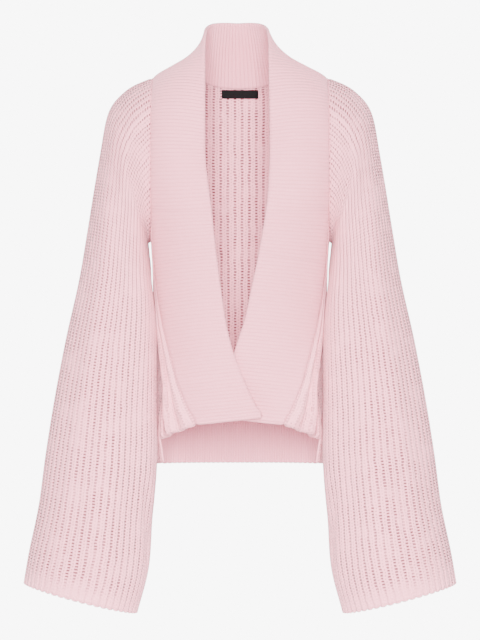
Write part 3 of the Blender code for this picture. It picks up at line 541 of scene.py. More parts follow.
class Cloth:
    """One cloth piece: a grid of points on the middle of the cloth and the way out at each.

    The grid's first axis runs across the ribs and its second one along them. wale counts
    ribs across it and course counts stitches along it."""

    def __init__(self, points, wale, stitch_length, outwards, closed=False):
        self.points, self.closed, self.rounding = points, closed, EDGE_ROUNDING
        self.wale = np.broadcast_to(wale[:, None], points.shape[:2]).copy()
        self.course = self.distance_from("last_along")[::-1].T / stitch_length
        over = np.gradient(points, axis=0)
        if closed:
            over[0] = over[-1] = (points[1] - points[-2]) / 2
        rib_width = np.linalg.norm(over, axis=-1) / np.gradient(wale)[:, None]
        self.split = fade(rib_width - WIDE_RIB, SPLIT_RANGE)
        normals = unit(np.cross(over, np.gradient(points, axis=1)))
        self.normals = normals * np.sign(np.sum(normals * outwards, axis=-1).mean())
        self.rise = np.ones(points.shape[:2])
        self.dip = np.zeros(points.shape[:2])
        self.openness = np.ones(points.shape[:2])

    def lines_from(self, edge):
        """The grid turned so that its first axis counts lines from the named edge inwards."""
        axis = 0 if edge.endswith("across") else 1
        step = 1 if edge.startswith("first") else -1

        def turned(grid):
            return np.moveaxis(grid, axis, 0)[::step]

        return turned

    def distance_from(self, edge):
        points = self.lines_from(edge)(self.points)
        steps = np.linalg.norm(np.diff(points, axis=0), axis=-1)
        return np.concatenate([np.zeros((1, points.shape[1])), np.cumsum(steps, axis=0)])

    def sew(self, edge, ways):
        """Makes an edge meet its neighbour face to face, a small gap apart, in a shallow dip."""
        turned = self.lines_from(edge)
        distance = self.distance_from(edge)
        blend = fade(distance, SEAM_BLEND)[..., None]
        normals = turned(self.normals)
        normals[:] = unit(normals * blend + ways[None] * (1 - blend))
        turned(self.dip)[:] += SEAM_DIP * (1 - fade(distance, SEAM_DIP_WIDTH))
        turned(self.rise)[:] *= fade(distance + 0.5, SEAM_DIP_WIDTH)
        points = turned(self.points)
        points[0] += unit(points[1] - points[0]) * SEAM_GAP / 2

    def fade_mesh(self, edge, first, last):
        """Closes the knit's holes near an edge, where the cloth is firmer."""
        distance = self.distance_from(edge)
        self.lines_from(edge)(self.openness)[:] *= fade(distance - first, last - first)

    def build(self, name):
        """A closed mesh with the outer and inner faces and rounded free edges."""
        points, normals = self.points, self.normals
        wale, course = self.wale, self.course
        kept = slice(0, -1) if self.closed else slice(None)
        columns, rows = points[kept].shape[:2]
        outer = points + normals * (OUTER_WALL - self.dip)[..., None]
        inner = points - normals * (INNER_WALL - self.dip * 0.3)[..., None]
        start_rim = points[:, 0] + unit(points[:, 0] - points[:, 1]) * self.rim(self.dip[:, 0])
        end_rim = points[:, -1] + unit(points[:, -1] - points[:, -2]) * self.rim(self.dip[:, -1])
        flat = columns * rows
        parts = [outer[kept].reshape(-1, 3), inner[kept].reshape(-1, 3), start_rim[kept], end_rim[kept]]
        ways = [normals[kept].reshape(-1, 3), -normals[kept].reshape(-1, 3)]
        zeros = np.zeros((columns, 3))
        ways += [zeros, zeros]
        tags = {
            "wale": [wale[kept].ravel(), wale[kept].ravel(), wale[kept][:, 0], wale[kept][:, -1]],
            "rise": [self.rise[kept].ravel(), self.rise[kept].ravel(), zeros[:, 0], zeros[:, 0]],
            "face": [np.ones(flat), -np.ones(flat), zeros[:, 0], zeros[:, 0]],
            "openness": [self.openness[kept].ravel()] * 2 + [zeros[:, 0], zeros[:, 0]],
            "split": [self.split[kept].ravel()] * 2 + [self.split[kept][:, 0], self.split[kept][:, -1]],
        }
        rims = {"start": 2 * flat, "end": 2 * flat + columns}
        if not self.closed:
            for edge, line, beside in (("first", 0, 1), ("last", -1, -2)):
                away = unit(points[line] - points[beside]) * self.rim(self.dip[line])
                parts.append(points[line] + away)
                ways.append(np.zeros((rows, 3)))
                tags["wale"].append(wale[line])
                tags["split"].append(self.split[line])
                for tag in ("rise", "face", "openness"):
                    tags[tag].append(np.zeros(rows))
                rims[edge] = 2 * flat + 2 * columns + (0 if edge == "first" else rows)
        faces, corners = self.faces(columns, rows, flat, rims)
        mesh = bpy.data.meshes.new(name)
        mesh.from_pydata((np.concatenate(parts) * MM).tolist(), [], faces)
        for tag, values in tags.items():
            layer = mesh.attributes.new(tag, "FLOAT", "POINT")
            layer.data.foreach_set("value", np.concatenate(values).astype(np.float32))
        layer = mesh.attributes.new("way", "FLOAT_VECTOR", "POINT")
        layer.data.foreach_set("vector", np.concatenate(ways).astype(np.float32).ravel())
        knit = mesh.uv_layers.new(name="knit")
        i, j, inside = np.array(corners).T
        sizes = np.array([len(face) for face in faces])
        centre = np.repeat(np.add.reduceat(i, np.cumsum(sizes) - sizes) / sizes, sizes)
        per_rib = 1 / (wale[1, 0] - wale[0, 0])
        shift = inside * 0.5
        valley = (np.round(centre / per_rib - shift) + shift) * per_rib
        valley = np.clip(np.round(valley).astype(int), 0, len(points) - 1)
        uv = np.stack([wale[i, j] + shift, course[valley, j]], axis=1)
        knit.data.foreach_set("uv", uv.astype(np.float32).ravel())
        mesh.update()
        made = bpy.data.objects.new(name, mesh)
        bpy.context.scene.collection.objects.link(made)
        return made

    def rim(self, dip):
        """How far an edge is rounded outwards: not at all where it is sewn."""
        return (self.rounding * np.clip(1 - dip / SEAM_DIP, 0, 1))[..., None]

    def faces(self, columns, rows, flat, rims):
        """The faces and, for each of their corners, its place in the grid and its side."""
        faces, corners = [], []

        def outer(i, j):
            return (i % columns) * rows + j, (i, j)

        def inner(i, j):
            return flat + (i % columns) * rows + j, (i, j)

        def rim(edge, i, j):
            along = i % columns if edge in ("start", "end") else j
            return rims[edge] + along, (i, j)

        facing = np.cross(
            self.points[1, 0] - self.points[0, 0], self.points[0, 1] - self.points[0, 0]
        )
        out_first = np.dot(facing, self.normals[0, 0]) > 0
        turn = 1 if out_first else -1

        def ring(*spots):
            spots = spots[::turn]
            faces.append([vertex for vertex, _ in spots])
            inside = any(flat <= vertex < 2 * flat for vertex, _ in spots)
            corners.extend((*place, inside) for _, place in spots)

        for i in range(columns if self.closed else columns - 1):
            for j in range(rows - 1):
                ring(outer(i, j), outer(i + 1, j), outer(i + 1, j + 1), outer(i, j + 1))
                ring(inner(i, j), inner(i, j + 1), inner(i + 1, j + 1), inner(i + 1, j))
            for edge, j, way in (("start", 0, 1), ("end", rows - 1, -1)):
                a, b, c, d = outer(i, j), outer(i + 1, j), rim(edge, i + 1, j), rim(edge, i, j)
                ring(*(b, a, d, c)[::way])
                e, f = inner(i, j), inner(i + 1, j)
                ring(*(c, d, e, f)[::way])
        if not self.closed:
            for edge, i, way in (("first", 0, 1), ("last", columns - 1, -1)):
                for j in range(rows - 1):
                    a, b, c, d = outer(i, j), outer(i, j + 1), rim(edge, i, j + 1), rim(edge, i, j)
                    ring(*(a, b, c, d)[::way])
                    e, f = inner(i, j), inner(i, j + 1)
                    ring(*(d, c, f, e)[::way])
                for corner, j, other in (("start", 0, 1), ("end", rows - 1, -1)):
                    spots = (outer(i, j), rim(edge, i, j), inner(i, j), rim(corner, i, j))
                    ring(*spots[:: way * other])
        return faces, corners


class Nodes:
    """Adds nodes to a tree and joins them, with arithmetic on sockets and numbers."""

    def __init__(self, tree):
        self.tree = tree

    def add(self, kind, settings=(), **inputs):
        node = self.tree.nodes.new(kind)
        for name, value in dict(settings).items():
            setattr(node, name, value)
        for name, value in inputs.items():
            self.join(value, node.inputs[name.replace("_", " ")])
        return node

    def join(self, value, socket):
        if isinstance(value, bpy.types.NodeSocket):
            self.tree.links.new(value, socket)
        else:
            socket.default_value = value

    def maths(self, operation, *values):
        node = self.tree.nodes.new("ShaderNodeMath")
        node.operation = operation
        for value, socket in zip(values, node.inputs):
            self.join(value, socket)
        return node.outputs[0]

    def mapped(self, value, low, high, to_low=0.0, to_high=1.0):
        """A value moved from one range to another, smoothly and held at its ends."""
        node = self.tree.nodes.new("ShaderNodeMapRange")
        node.interpolation_type = "SMOOTHSTEP"
        for given, socket in zip((value, low, high, to_low, to_high), node.inputs):
            self.join(given, socket)
        return node.outputs[0]

    def mixed(self, share, first, second):
        """Two colours mixed by a share."""
        node = self.tree.nodes.new("ShaderNodeMix")
        node.data_type = "RGBA"
        self.join(share, node.inputs[0])
        self.join(first, node.inputs[6])
        self.join(second, node.inputs[7])
        return node.outputs[2]


def add_socket(tree, name, direction, kind, default=None):
    socket = tree.interface.new_socket(name=name, in_out=direction, socket_type=kind)
    if default is not None:
        socket.default_value = default
    return socket


def rib_raiser():
    """Geometry nodes that raise a piece's ribs: tall ridges outside, low ones inside."""
    tree = bpy.data.node_groups.get("Raise ribs")
    if tree:
        return tree
    tree = bpy.data.node_groups.new("Raise ribs", "GeometryNodeTree")
    add_socket(tree, "Cloth", "INPUT", "NodeSocketGeometry")
    add_socket(tree, "Ridge height", "INPUT", "NodeSocketFloat", 0.0015)
    add_socket(tree, "Inside height", "INPUT", "NodeSocketFloat", 0.0006)
    add_socket(tree, "Roundness", "INPUT", "NodeSocketFloat", 0.7)
    add_socket(tree, "Knit", "INPUT", "NodeSocketMaterial")
    add_socket(tree, "Ribbed cloth", "OUTPUT", "NodeSocketGeometry")
    n = Nodes(tree)
    given = n.add("NodeGroupInput")
    made = n.add("NodeGroupOutput")

    def named(name, kind="FLOAT"):
        return n.add("GeometryNodeInputNamedAttribute", {"data_type": kind}, Name=name).outputs[0]

    inside = n.maths("LESS_THAN", named("face"), 0.0)
    turn = n.maths("MULTIPLY", n.maths("ADD", named("wale"), n.maths("MULTIPLY", inside, 0.5)), math.pi)
    whole = n.maths("ABSOLUTE", n.maths("SINE", turn))
    halves = n.maths("ABSOLUTE", n.maths("SINE", n.maths("MULTIPLY", turn, 2.0)))
    profile = n.maths("MULTIPLY_ADD", n.maths("SUBTRACT", halves, whole), named("split"), whole)
    ridge = n.maths("POWER", profile, given.outputs["Roundness"])
    outer = n.maths("MULTIPLY", given.outputs["Ridge height"], n.maths("SUBTRACT", 1.0, inside))
    inner = n.maths("MULTIPLY", given.outputs["Inside height"], inside)
    height = n.maths("MULTIPLY", n.maths("ADD", outer, inner), n.maths("MULTIPLY", ridge, named("rise")))
    way = named("way", "FLOAT_VECTOR")
    lift = n.add("ShaderNodeVectorMath", {"operation": "SCALE"}, Vector=way, Scale=height)
    moved = n.add("GeometryNodeSetPosition", Geometry=given.outputs["Cloth"], Offset=lift.outputs[0])
    shaded = n.add("GeometryNodeSetShadeSmooth", Geometry=moved.outputs[0])
    realized = n.add("GeometryNodeRealizeInstances", Geometry=shaded.outputs[0])
    coloured = n.add("GeometryNodeSetMaterial", Geometry=realized.outputs[0], Material=given.outputs["Knit"])
    n.join(coloured.outputs[0], made.inputs[0])
    return tree


def seam_sewer():
    """Geometry nodes that lay small stitches along a line."""
    tree = bpy.data.node_groups.get("Sew a seam")
    if tree:
        return tree
    tree = bpy.data.node_groups.new("Sew a seam", "GeometryNodeTree")
    add_socket(tree, "Line", "INPUT", "NodeSocketGeometry")
    add_socket(tree, "Stitch spacing", "INPUT", "NodeSocketFloat", 0.0042)
    add_socket(tree, "Stitch length", "INPUT", "NodeSocketFloat", 0.0034)
    add_socket(tree, "Yarn radius", "INPUT", "NodeSocketFloat", 0.0006)
    add_socket(tree, "Slant", "INPUT", "NodeSocketFloat", 0.5)
    add_socket(tree, "Yarn", "INPUT", "NodeSocketMaterial")
    add_socket(tree, "Stitches", "OUTPUT", "NodeSocketGeometry")
    n = Nodes(tree)
    given = n.add("NodeGroupInput")
    made = n.add("NodeGroupOutput")
    path = n.add("GeometryNodeMeshToCurve", Mesh=given.outputs["Line"])
    spaced = n.add("GeometryNodeResampleCurve", {"mode": "LENGTH"}, Curve=path.outputs[0],
                   Length=given.outputs["Stitch spacing"])
    ball = n.add("GeometryNodeMeshUVSphere", Segments=6, Rings=5, Radius=1.0)
    size = n.add("ShaderNodeCombineXYZ", X=given.outputs["Yarn radius"], Y=given.outputs["Yarn radius"],
                 Z=n.maths("DIVIDE", given.outputs["Stitch length"], 2.0))
    tangent = n.add("GeometryNodeInputTangent")
    along = n.add("FunctionNodeAlignRotationToVector", {"axis": "Z"}, Vector=tangent.outputs[0])
    slanted = n.add("FunctionNodeRotateRotation", {"rotation_space": "LOCAL"}, Rotation=along.outputs[0],
                    Rotate_By=n.add("FunctionNodeAxisAngleToRotation", Axis=(1, 0, 0),
                                    Angle=given.outputs["Slant"]).outputs[0])
    placed = n.add("GeometryNodeInstanceOnPoints", Points=spaced.outputs[0], Instance=ball.outputs[0],
                   Rotation=slanted.outputs[0], Scale=size.outputs[0])
    realized = n.add("GeometryNodeRealizeInstances", Geometry=placed.outputs[0])
    shaded = n.add("GeometryNodeSetShadeSmooth", Geometry=realized.outputs[0])
    coloured = n.add("GeometryNodeSetMaterial", Geometry=shaded.outputs[0], Material=given.outputs["Yarn"])
    n.join(coloured.outputs[0], made.inputs[0])
    return tree


def settle(piece, tree, **values):
    """Runs a geometry tree on a piece and leaves a plain mesh with no modifier."""
    modifier = piece.modifiers.new("Nodes", "NODES")
    modifier.node_group = tree
    sockets = {s.name: s.identifier for s in tree.interface.items_tree if s.in_out == "INPUT"}
    for name, value in values.items():
        modifier[sockets[name.replace("_", " ")]] = value
    graph = bpy.context.evaluated_depsgraph_get()
    mesh = bpy.data.meshes.new_from_object(piece.evaluated_get(graph), depsgraph=graph)
    piece.modifiers.clear()
    old = piece.data
    piece.data = mesh
    mesh.name = piece.name
    bpy.data.meshes.remove(old)
    if not len(mesh.polygons):
        raise RuntimeError(f"{piece.name} came out with no faces")
    return piece


def stitch_group():
    """A shader group that draws rib knit: slanting loops on each rib and holes between ribs, and a light
    share that paints shade into the grooves and the sunk parts of the loops.
    """
    tree = bpy.data.node_groups.get("Knit stitches")
    if tree:
        return tree
    tree = bpy.data.node_groups.new("Knit stitches", "ShaderNodeTree")
    add_socket(tree, "Knit", "INPUT", "NodeSocketVector")
    add_socket(tree, "Split", "INPUT", "NodeSocketFloat", 0.0)
    add_socket(tree, "Slant", "INPUT", "NodeSocketFloat", 0.9)
    add_socket(tree, "Loop depth", "INPUT", "NodeSocketFloat", 0.5)
    add_socket(tree, "Groove start", "INPUT", "NodeSocketFloat", 0.3)
    add_socket(tree, "Groove shade", "INPUT", "NodeSocketFloat", 0.3)
    add_socket(tree, "Holes", "INPUT", "NodeSocketFloat", 1.0)
    add_socket(tree, "Crown holes", "INPUT", "NodeSocketFloat", 0.4)
    add_socket(tree, "Height", "OUTPUT", "NodeSocketFloat")
    add_socket(tree, "Light", "OUTPUT", "NodeSocketFloat")
    add_socket(tree, "Hole", "OUTPUT", "NodeSocketFloat")
    n = Nodes(tree)
    given = n.add("NodeGroupInput")
    made = n.add("NodeGroupOutput")
    parts = n.add("ShaderNodeSeparateXYZ", Vector=given.outputs["Knit"])
    whole = n.maths("ABSOLUTE", n.maths("SUBTRACT", n.maths("FRACT", parts.outputs[0]), 0.5))
    doubled = n.maths("FRACT", n.maths("MULTIPLY", parts.outputs[0], 2.0))
    halves = n.maths("ABSOLUTE", n.maths("SUBTRACT", doubled, 0.5))
    off = n.maths("MULTIPLY_ADD", n.maths("SUBTRACT", halves, whole), given.outputs["Split"], whole)
    slanted = n.maths("MULTIPLY_ADD", off, given.outputs["Slant"], parts.outputs[1])
    wave = n.maths("COSINE", n.maths("MULTIPLY", slanted, 2 * math.pi))
    loop = n.maths("POWER", n.maths("MULTIPLY_ADD", wave, 0.5, 0.5), 0.6)
    groove = n.mapped(off, given.outputs["Groove start"], 0.5)
    middle = n.maths("MULTIPLY", n.mapped(off, 0.09, 0.0), 0.35)
    strand = n.maths("SUBTRACT", n.maths("SUBTRACT", 1.0, groove), middle)
    sunk = n.maths("MULTIPLY", n.maths("SUBTRACT", 1.0, loop), given.outputs["Loop depth"])
    height = n.maths("MULTIPLY", strand, n.maths("SUBTRACT", 1.0, sunk))
    phase = n.maths("COSINE", n.maths("MULTIPLY", n.maths("ADD", parts.outputs[1], 0.25), 2 * math.pi))
    in_valley = n.maths("MULTIPLY", n.mapped(off, 0.26, 0.37), n.mapped(phase, -0.4, 0.4))
    on_crown = n.maths("MULTIPLY", n.mapped(off, 0.12, 0.05), n.mapped(phase, 0.1, -0.6))
    dots = n.maths("MULTIPLY_ADD", on_crown, given.outputs["Crown holes"], in_valley)
    hole = n.maths("MULTIPLY", dots, given.outputs["Holes"])
    n.join(n.maths("SUBTRACT", height, n.maths("MULTIPLY", hole, 0.6)), made.inputs["Height"])
    # Painted shade: the grooves between the ribs and the sunk parts of the loops get a lower light share,
    # which darkens their colour
    dimmed = n.maths("MULTIPLY_ADD", groove, given.outputs["Groove shade"], n.maths("MULTIPLY", sunk, 0.35))
    light = n.maths("SUBTRACT", 1.0, dimmed)
    n.join(light, made.inputs["Light"])
    n.join(hole, made.inputs["Hole"])
    return tree


def colour_of(values):
    return tuple(values)[:3] + (1.0,)


def knit_material(name, yarn, shade, deep, holes, relief, wandering, **stitch):
    """A knit cloth drawn on the piece's own wale and course coordinates. shade is the painted shade colour of
    the grooves and sunk loops, and also the tone of random patches; deep is the painted shade inside the
    holes.
    """
    material = bpy.data.materials.get(name)
    if material:
        return material
    material = bpy.data.materials.new(name)
    material.use_nodes = True
    tree = material.node_tree
    n = Nodes(tree)
    shader = tree.nodes["Principled BSDF"]
    uv = n.add("ShaderNodeUVMap", {"uv_map": "knit"}).outputs[0]
    place = n.add("ShaderNodeTexCoord").outputs["Object"]
    openness = n.add("ShaderNodeAttribute", {"attribute_name": "openness"}).outputs["Fac"]
    wander = n.add("ShaderNodeTexNoise", Vector=place, Scale=110.0, Detail=2.0)
    nudge = n.add(
        "ShaderNodeVectorMath", {"operation": "SCALE"}, Vector=wander.outputs["Color"], Scale=wandering
    )
    bent = n.add("ShaderNodeVectorMath", {"operation": "ADD"})
    n.join(uv, bent.inputs[0])
    n.join(nudge.outputs[0], bent.inputs[1])
    stitches = n.add("ShaderNodeGroup", {"node_tree": stitch_group()})
    n.join(bent.outputs[0], stitches.inputs["Knit"])
    n.join(n.add("ShaderNodeAttribute", {"attribute_name": "split"}).outputs["Fac"], stitches.inputs["Split"])
    for given, value in stitch.items():
        n.join(value, stitches.inputs[given.replace("_", " ").capitalize()])
    patches = n.add("ShaderNodeTexNoise", Vector=place, Scale=14.0, Detail=3.0).outputs["Fac"]
    slack = n.add("ShaderNodeTexNoise", Vector=place, Scale=34.0, Detail=3.0).outputs["Fac"]
    open_holes = n.maths("MULTIPLY", openness, n.mapped(slack, 0.34, 0.54, 0.5 * holes, holes))
    n.join(open_holes, stitches.inputs["Holes"])
    fibres = n.add("ShaderNodeTexNoise", Vector=place, Scale=1500.0, Detail=3.0).outputs["Fac"]
    # Painted shade: the yarn colour turns towards the shade colour where the light share is low, in the
    # grooves and sunk loops
    lit = n.mixed(stitches.outputs["Light"], colour_of(shade), colour_of(yarn))
    # Random patches of tone, drifting slightly towards the same shade colour
    tinted = n.mixed(n.mapped(patches, 0.3, 0.7, 0.0, 0.12), lit, colour_of(shade))
    flecked = n.mixed(n.mapped(fibres, 0.35, 0.75, 0.0, 0.10), tinted, (1.0, 0.93, 0.93, 1.0))
    # Painted shade in the holes: each hole is coloured towards the deep colour, standing for the dark inside
    # seen through it
    coloured = n.mixed(stitches.outputs["Hole"], flecked, colour_of(deep))
    n.join(coloured, shader.inputs["Base Color"])
    n.join(n.mapped(fibres, 0.3, 0.7, 0.82, 0.96), shader.inputs["Roughness"])
    height = n.maths("MULTIPLY_ADD", fibres, 0.18, stitches.outputs["Height"])
    bump = n.add("ShaderNodeBump", Strength=0.8, Distance=relief, Height=height)
    n.join(bump.outputs[0], shader.inputs["Normal"])
    shader.inputs["Sheen Weight"].default_value = 0.25
    shader.inputs["Sheen Roughness"].default_value = 0.5
    shader.inputs["Sheen Tint"].default_value = (1.0, 0.86, 0.88, 1.0)
    shader.inputs["Specular IOR Level"].default_value = 0.25
    return material


def yarn_material(name, yarn):
    """Plain yarn for the stitches that join the pieces."""
    material = bpy.data.materials.get(name)
    if material:
        return material
    material = bpy.data.materials.new(name)
    material.use_nodes = True
    n = Nodes(material.node_tree)
    shader = material.node_tree.nodes["Principled BSDF"]
    place = n.add("ShaderNodeTexCoord").outputs["Object"]
    fibres = n.add("ShaderNodeTexNoise", Vector=place, Scale=1500.0, Detail=3.0).outputs["Fac"]
    darker = tuple(c * 0.8 for c in tuple(yarn)[:3]) + (1.0,)
    n.join(n.mixed(n.mapped(fibres, 0.3, 0.7), darker, colour_of(yarn)), shader.inputs["Base Color"])
    n.join(n.mapped(fibres, 0.3, 0.7, 0.8, 0.95), shader.inputs["Roughness"])
    bump = n.add("ShaderNodeBump", Strength=0.5, Distance=0.0003, Height=fibres)
    n.join(bump.outputs[0], shader.inputs["Normal"])
    return material


def label_material(colour):
    """A black damask ribbon with a fine weave."""
    material = bpy.data.materials.new("Woven label")
    material.use_nodes = True
    n = Nodes(material.node_tree)
    shader = material.node_tree.nodes["Principled BSDF"]
    uv = n.add("ShaderNodeUVMap", {"uv_map": "knit"})
    parts = n.add("ShaderNodeSeparateXYZ", Vector=uv.outputs[0])
    warp = n.maths("SINE", n.maths("MULTIPLY", parts.outputs[0], 2 * math.pi))
    weft = n.maths("SINE", n.maths("MULTIPLY", parts.outputs[1], 2 * math.pi))
    weave = n.maths("MULTIPLY_ADD", n.maths("MULTIPLY", warp, weft), 0.5, 0.5)
    lighter = tuple(c * LABEL_WEFT_LIGHTER for c in tuple(colour)[:3]) + (1.0,)
    n.join(n.mixed(weave, colour_of(colour), lighter), shader.inputs["Base Color"])
    n.join(n.mapped(weave, 0.0, 1.0, 0.75, 0.9), shader.inputs["Roughness"])
    shader.inputs["Specular IOR Level"].default_value = 0.08
    bump = n.add("ShaderNodeBump", Strength=0.6, Distance=0.0002, Height=weave)
    n.join(bump.outputs[0], shader.inputs["Normal"])
    return material


def floor_material(colour):
    """Pale paper with a faint grain."""
    material = bpy.data.materials.new("Pale paper")
    material.use_nodes = True
    n = Nodes(material.node_tree)
    shader = material.node_tree.nodes["Principled BSDF"]
    place = n.add("ShaderNodeTexCoord").outputs["Object"]
    grain = n.add("ShaderNodeTexNoise", Vector=place, Scale=3.0, Detail=2.0).outputs["Fac"]
    dimmer = tuple(c * 0.99 for c in tuple(colour)[:3]) + (1.0,)
    n.join(n.mixed(grain, colour_of(colour), dimmer), shader.inputs["Base Color"])
    shader.inputs["Roughness"].default_value = 0.95
    shader.inputs["Specular IOR Level"].default_value = 0.0
    return material


def settings():
    return bpy.context.scene.cardigan


def chunky_material():
    s = settings()
    return knit_material(
        "Chunky rib knit", s.yarn_colour, s.yarn_painted_shade_and_patches, s.painted_hole_shade, s.hole_strength, 0.0016, 0.4,
        slant=0.9, loop_depth=0.45, groove_start=0.28, groove_shade=0.22, crown_holes=0.45,
    )


def fine_material():
    s = settings()
    return knit_material(
        "Fine rib knit", s.band_colour, s.band_painted_shade_and_patches, s.painted_hole_shade, 0.0, 0.0009, 0.16,
        slant=0.6, loop_depth=0.25, groove_start=0.2, groove_shade=0.35,
    )


def finish_cloth(cloth, name, node, material, height, inside, roundness=0.7):
    """Makes a cloth piece of its grid, in the place of its CAD node."""
    piece = settle(
        cloth.build(name), rib_raiser(), Ridge_height=height * MM, Inside_height=inside * MM,
        Roundness=roundness, Knit=material,
    )
    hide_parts(node)
    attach(piece, "root")
    return piece


def make_sleeve(name, side):
    s = settings()
    across = np.linspace(0, 1, SLEEVE_RIBS * s.columns_per_rib + 1)
    along = np.linspace(0, 1, s.sleeve_rows)
    flip = np.array([side, 1, 1])
    a, b = np.meshgrid(across, along, indexing="ij")
    points = sleeve_point(a, b)
    scallop = np.abs(np.sin(math.pi * across * SLEEVE_RIBS)) ** 0.7
    points[:, -1] += unit(points[:, -1] - points[:, -2]) * (2.0 * scallop - 1.0)[:, None]
    middle = points.mean(axis=0, keepdims=True)
    cloth = Cloth(
        points * flip, across * SLEEVE_RIBS, s.stitch_length,
        (points - middle) * flip, closed=True,
    )
    ways = armhole_way_out(np.degrees(sleeve_angle(across, 0.0))) * flip
    cloth.sew("first_along", ways)
    cloth.fade_mesh("last_along", 4.0, 34.0)
    return finish_cloth(
        cloth, "knit_" + name, name, chunky_material(),
        s.chunky_height, 0.7,
    )


def make_band(band):
    s = settings()
    tail = hem_length()
    ribs = round((band.length + 2 * tail) / s.band_pitch)
    across = np.linspace(-tail, band.length + tail, ribs * 4 + 1)
    along = np.linspace(0, 1, 27)
    a, b = np.meshgrid(across, along, indexing="ij")
    points = band.point(a, b)
    ways = band.sewn_way_out(across)
    wale = (across + tail) / s.band_pitch
    cloth = Cloth(points, wale, s.stitch_length, ways[:, None])
    cloth.sew("first_along", ways)
    cloth.rise *= 1 - 0.5 * (1 - fade(cloth.distance_from("first_along").T, 16.0))
    return finish_cloth(
        cloth, "knit_neck_band", "neck_band", fine_material(),
        s.fine_height, 0.6,
    )


def make_back(back):
    s = settings()
    ribs = 24
    shares = np.linspace(-1, 1, ribs * 8 + 1)
    down = np.linspace(0, back.down_at(HEM_BAND_TOP_Z), 120)
    a, b = np.meshgrid(shares, down, indexing="ij")
    cloth = Cloth(
        back.point(a, b), (shares + 1) / 2 * ribs, s.stitch_length, np.array([0, 1.0, 0])
    )
    for edge, side in (("first_across", RIGHT), ("last_across", LEFT)):
        cloth.sew(edge, back.edge_way_out(down) * np.array([side, 1, 1]))
    cloth.sew("first_along", back.top_way_out(shares * ARMHOLE_X))
    cloth.sew("last_along", unit(cloth.normals[:, -1]))
    return finish_cloth(
        cloth, "knit_back_panel", "back_panel", chunky_material(),
        s.chunky_height, 1.2,
    )


def make_hem_band(back):
    s = settings()
    ribs = 64
    shares = np.linspace(-1, 1, ribs * 4 + 1)
    down = np.linspace(back.down_at(HEM_BAND_TOP_Z), back.down_at(BACK_HEM_Z), 20)
    a, b = np.meshgrid(shares, down, indexing="ij")
    points = back.point(a, b)
    points[:, -1, 2] -= 0.9 * np.abs(np.sin(math.pi * shares * 16)) ** 0.7
    cloth = Cloth(points, (shares + 1) / 2 * ribs, s.stitch_length, np.array([0, 1.0, 0]))
    for edge, side in (("first_across", RIGHT), ("last_across", LEFT)):
        cloth.sew(edge, back.edge_way_out(down) * np.array([side, 1, 1]))
    cloth.sew("first_along", unit(cloth.normals[:, 0]))
    return finish_cloth(
        cloth, "knit_back_hem_band", "back_hem_band", fine_material(),
        s.fine_height, 0.8,
    )


def make_side_panel(name, side):
    s = settings()
    ribs = 9
    across = np.linspace(0, 1, ribs * 8 + 1)
    down = np.linspace(0, len(SIDE_WIDEST), 100)
    a, b = np.meshgrid(across, down, indexing="ij")
    flip = np.array([side, 1, 1])
    cloth = Cloth(
        side_point(side, a, b), across * ribs, s.stitch_length, np.array([side, 0, 0])
    )
    panel_ways = np.array(PANEL_SIDE_EDGE, float)[::-1, 3:]
    front_ways = np.concatenate([
        armhole_way_out([UNDERARM_FRONT]), panel_ways, panel_ways[-1:], panel_ways[-1:]
    ])
    cloth.sew("first_across", unit(straight(front_ways, down)) * flip)
    cloth.sew("last_across", np.tile(unit(SIDE_BACK_WAY_OUT) * flip, (len(down), 1)))
    angles = UNDERARM_FRONT + (UNDERARM_BACK - UNDERARM_FRONT) * across
    cloth.sew("first_along", armhole_way_out(angles) * flip)
    return finish_cloth(
        cloth, "knit_" + name, name, chunky_material(),
        s.chunky_height, 0.9,
    )


def make_front_panel(name, side):
    s = settings()
    ribs = 6
    rows = len(PANEL_SIDE_EDGE) - 1
    down = np.concatenate([
        np.linspace(0, rows, 70)[:-1], rows + np.linspace(0, hem_length(), 16)
    ])
    across = np.linspace(0, 1, ribs * 10 + 1)
    a, b = np.meshgrid(across, down, indexing="ij")
    points, ways = panel_point(side, a, b)
    cloth = Cloth(points, across * ribs, s.stitch_length, ways)
    cloth.sew("first_across", unit(ways[0]))
    cloth.sew("last_across", unit(ways[-1]))
    cloth.sew("first_along", unit(ways[:, 0]))
    cloth.rise *= np.clip(down / rows, 0, 1)
    cloth.openness *= PANEL_OPENNESS
    return finish_cloth(
        cloth, "knit_" + name, name, chunky_material(),
        s.chunky_height, 0.7,
    )


def make_label(back):
    """A bare woven strip inside the back neck."""
    shares = np.linspace(-1, 1, 61) * LABEL_WIDTH / 2 / ARMHOLE_X
    heights = LABEL_TOP_Z - np.linspace(0, 1, 15) * LABEL_HEIGHT
    grid = []
    downs = np.linspace(0.5, 60, 240)
    for share in shares:
        line = back.point(share, downs)
        grid.append([[np.interp(-z, -line[:, 2], axis) for axis in line.T] for z in heights])
    points = np.array(grid)
    points[..., 1] -= LABEL_LIFT + LABEL_THICKNESS / 2
    normals = np.tile(np.array([0, -1.0, 0]), points.shape[:2] + (1,))
    cloth = Cloth(points, np.linspace(0, LABEL_WIDTH / LABEL_THREAD, 61), LABEL_THREAD, normals)
    cloth.normals, cloth.rounding = normals * 0.25, 0.15
    cloth.rise *= 0
    piece = cloth.build("woven_neck_label")
    settle(
        piece, rib_raiser(), Ridge_height=0.0, Inside_height=0.0, Roundness=1.0,
        Knit=label_material(settings().label_colour),
    )
    return piece


def seam_line(name, points, material, spacing=4.2, length=3.6, radius=0.6, slant=0.45):
    """Small stitches laid along a line of points."""
    points = np.asarray(points, float) * MM
    mesh = bpy.data.meshes.new(name)
    edges = [(i, i + 1) for i in range(len(points) - 1)]
    mesh.from_pydata(points.tolist(), edges, [])
    piece = bpy.data.objects.new(name, mesh)
    bpy.context.scene.collection.objects.link(piece)
    settle(
        piece, seam_sewer(), Stitch_spacing=spacing * MM, Stitch_length=length * MM,
        Yarn_radius=radius * MM, Slant=slant, Yarn=material,
    )
    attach(piece, "root")
    return piece


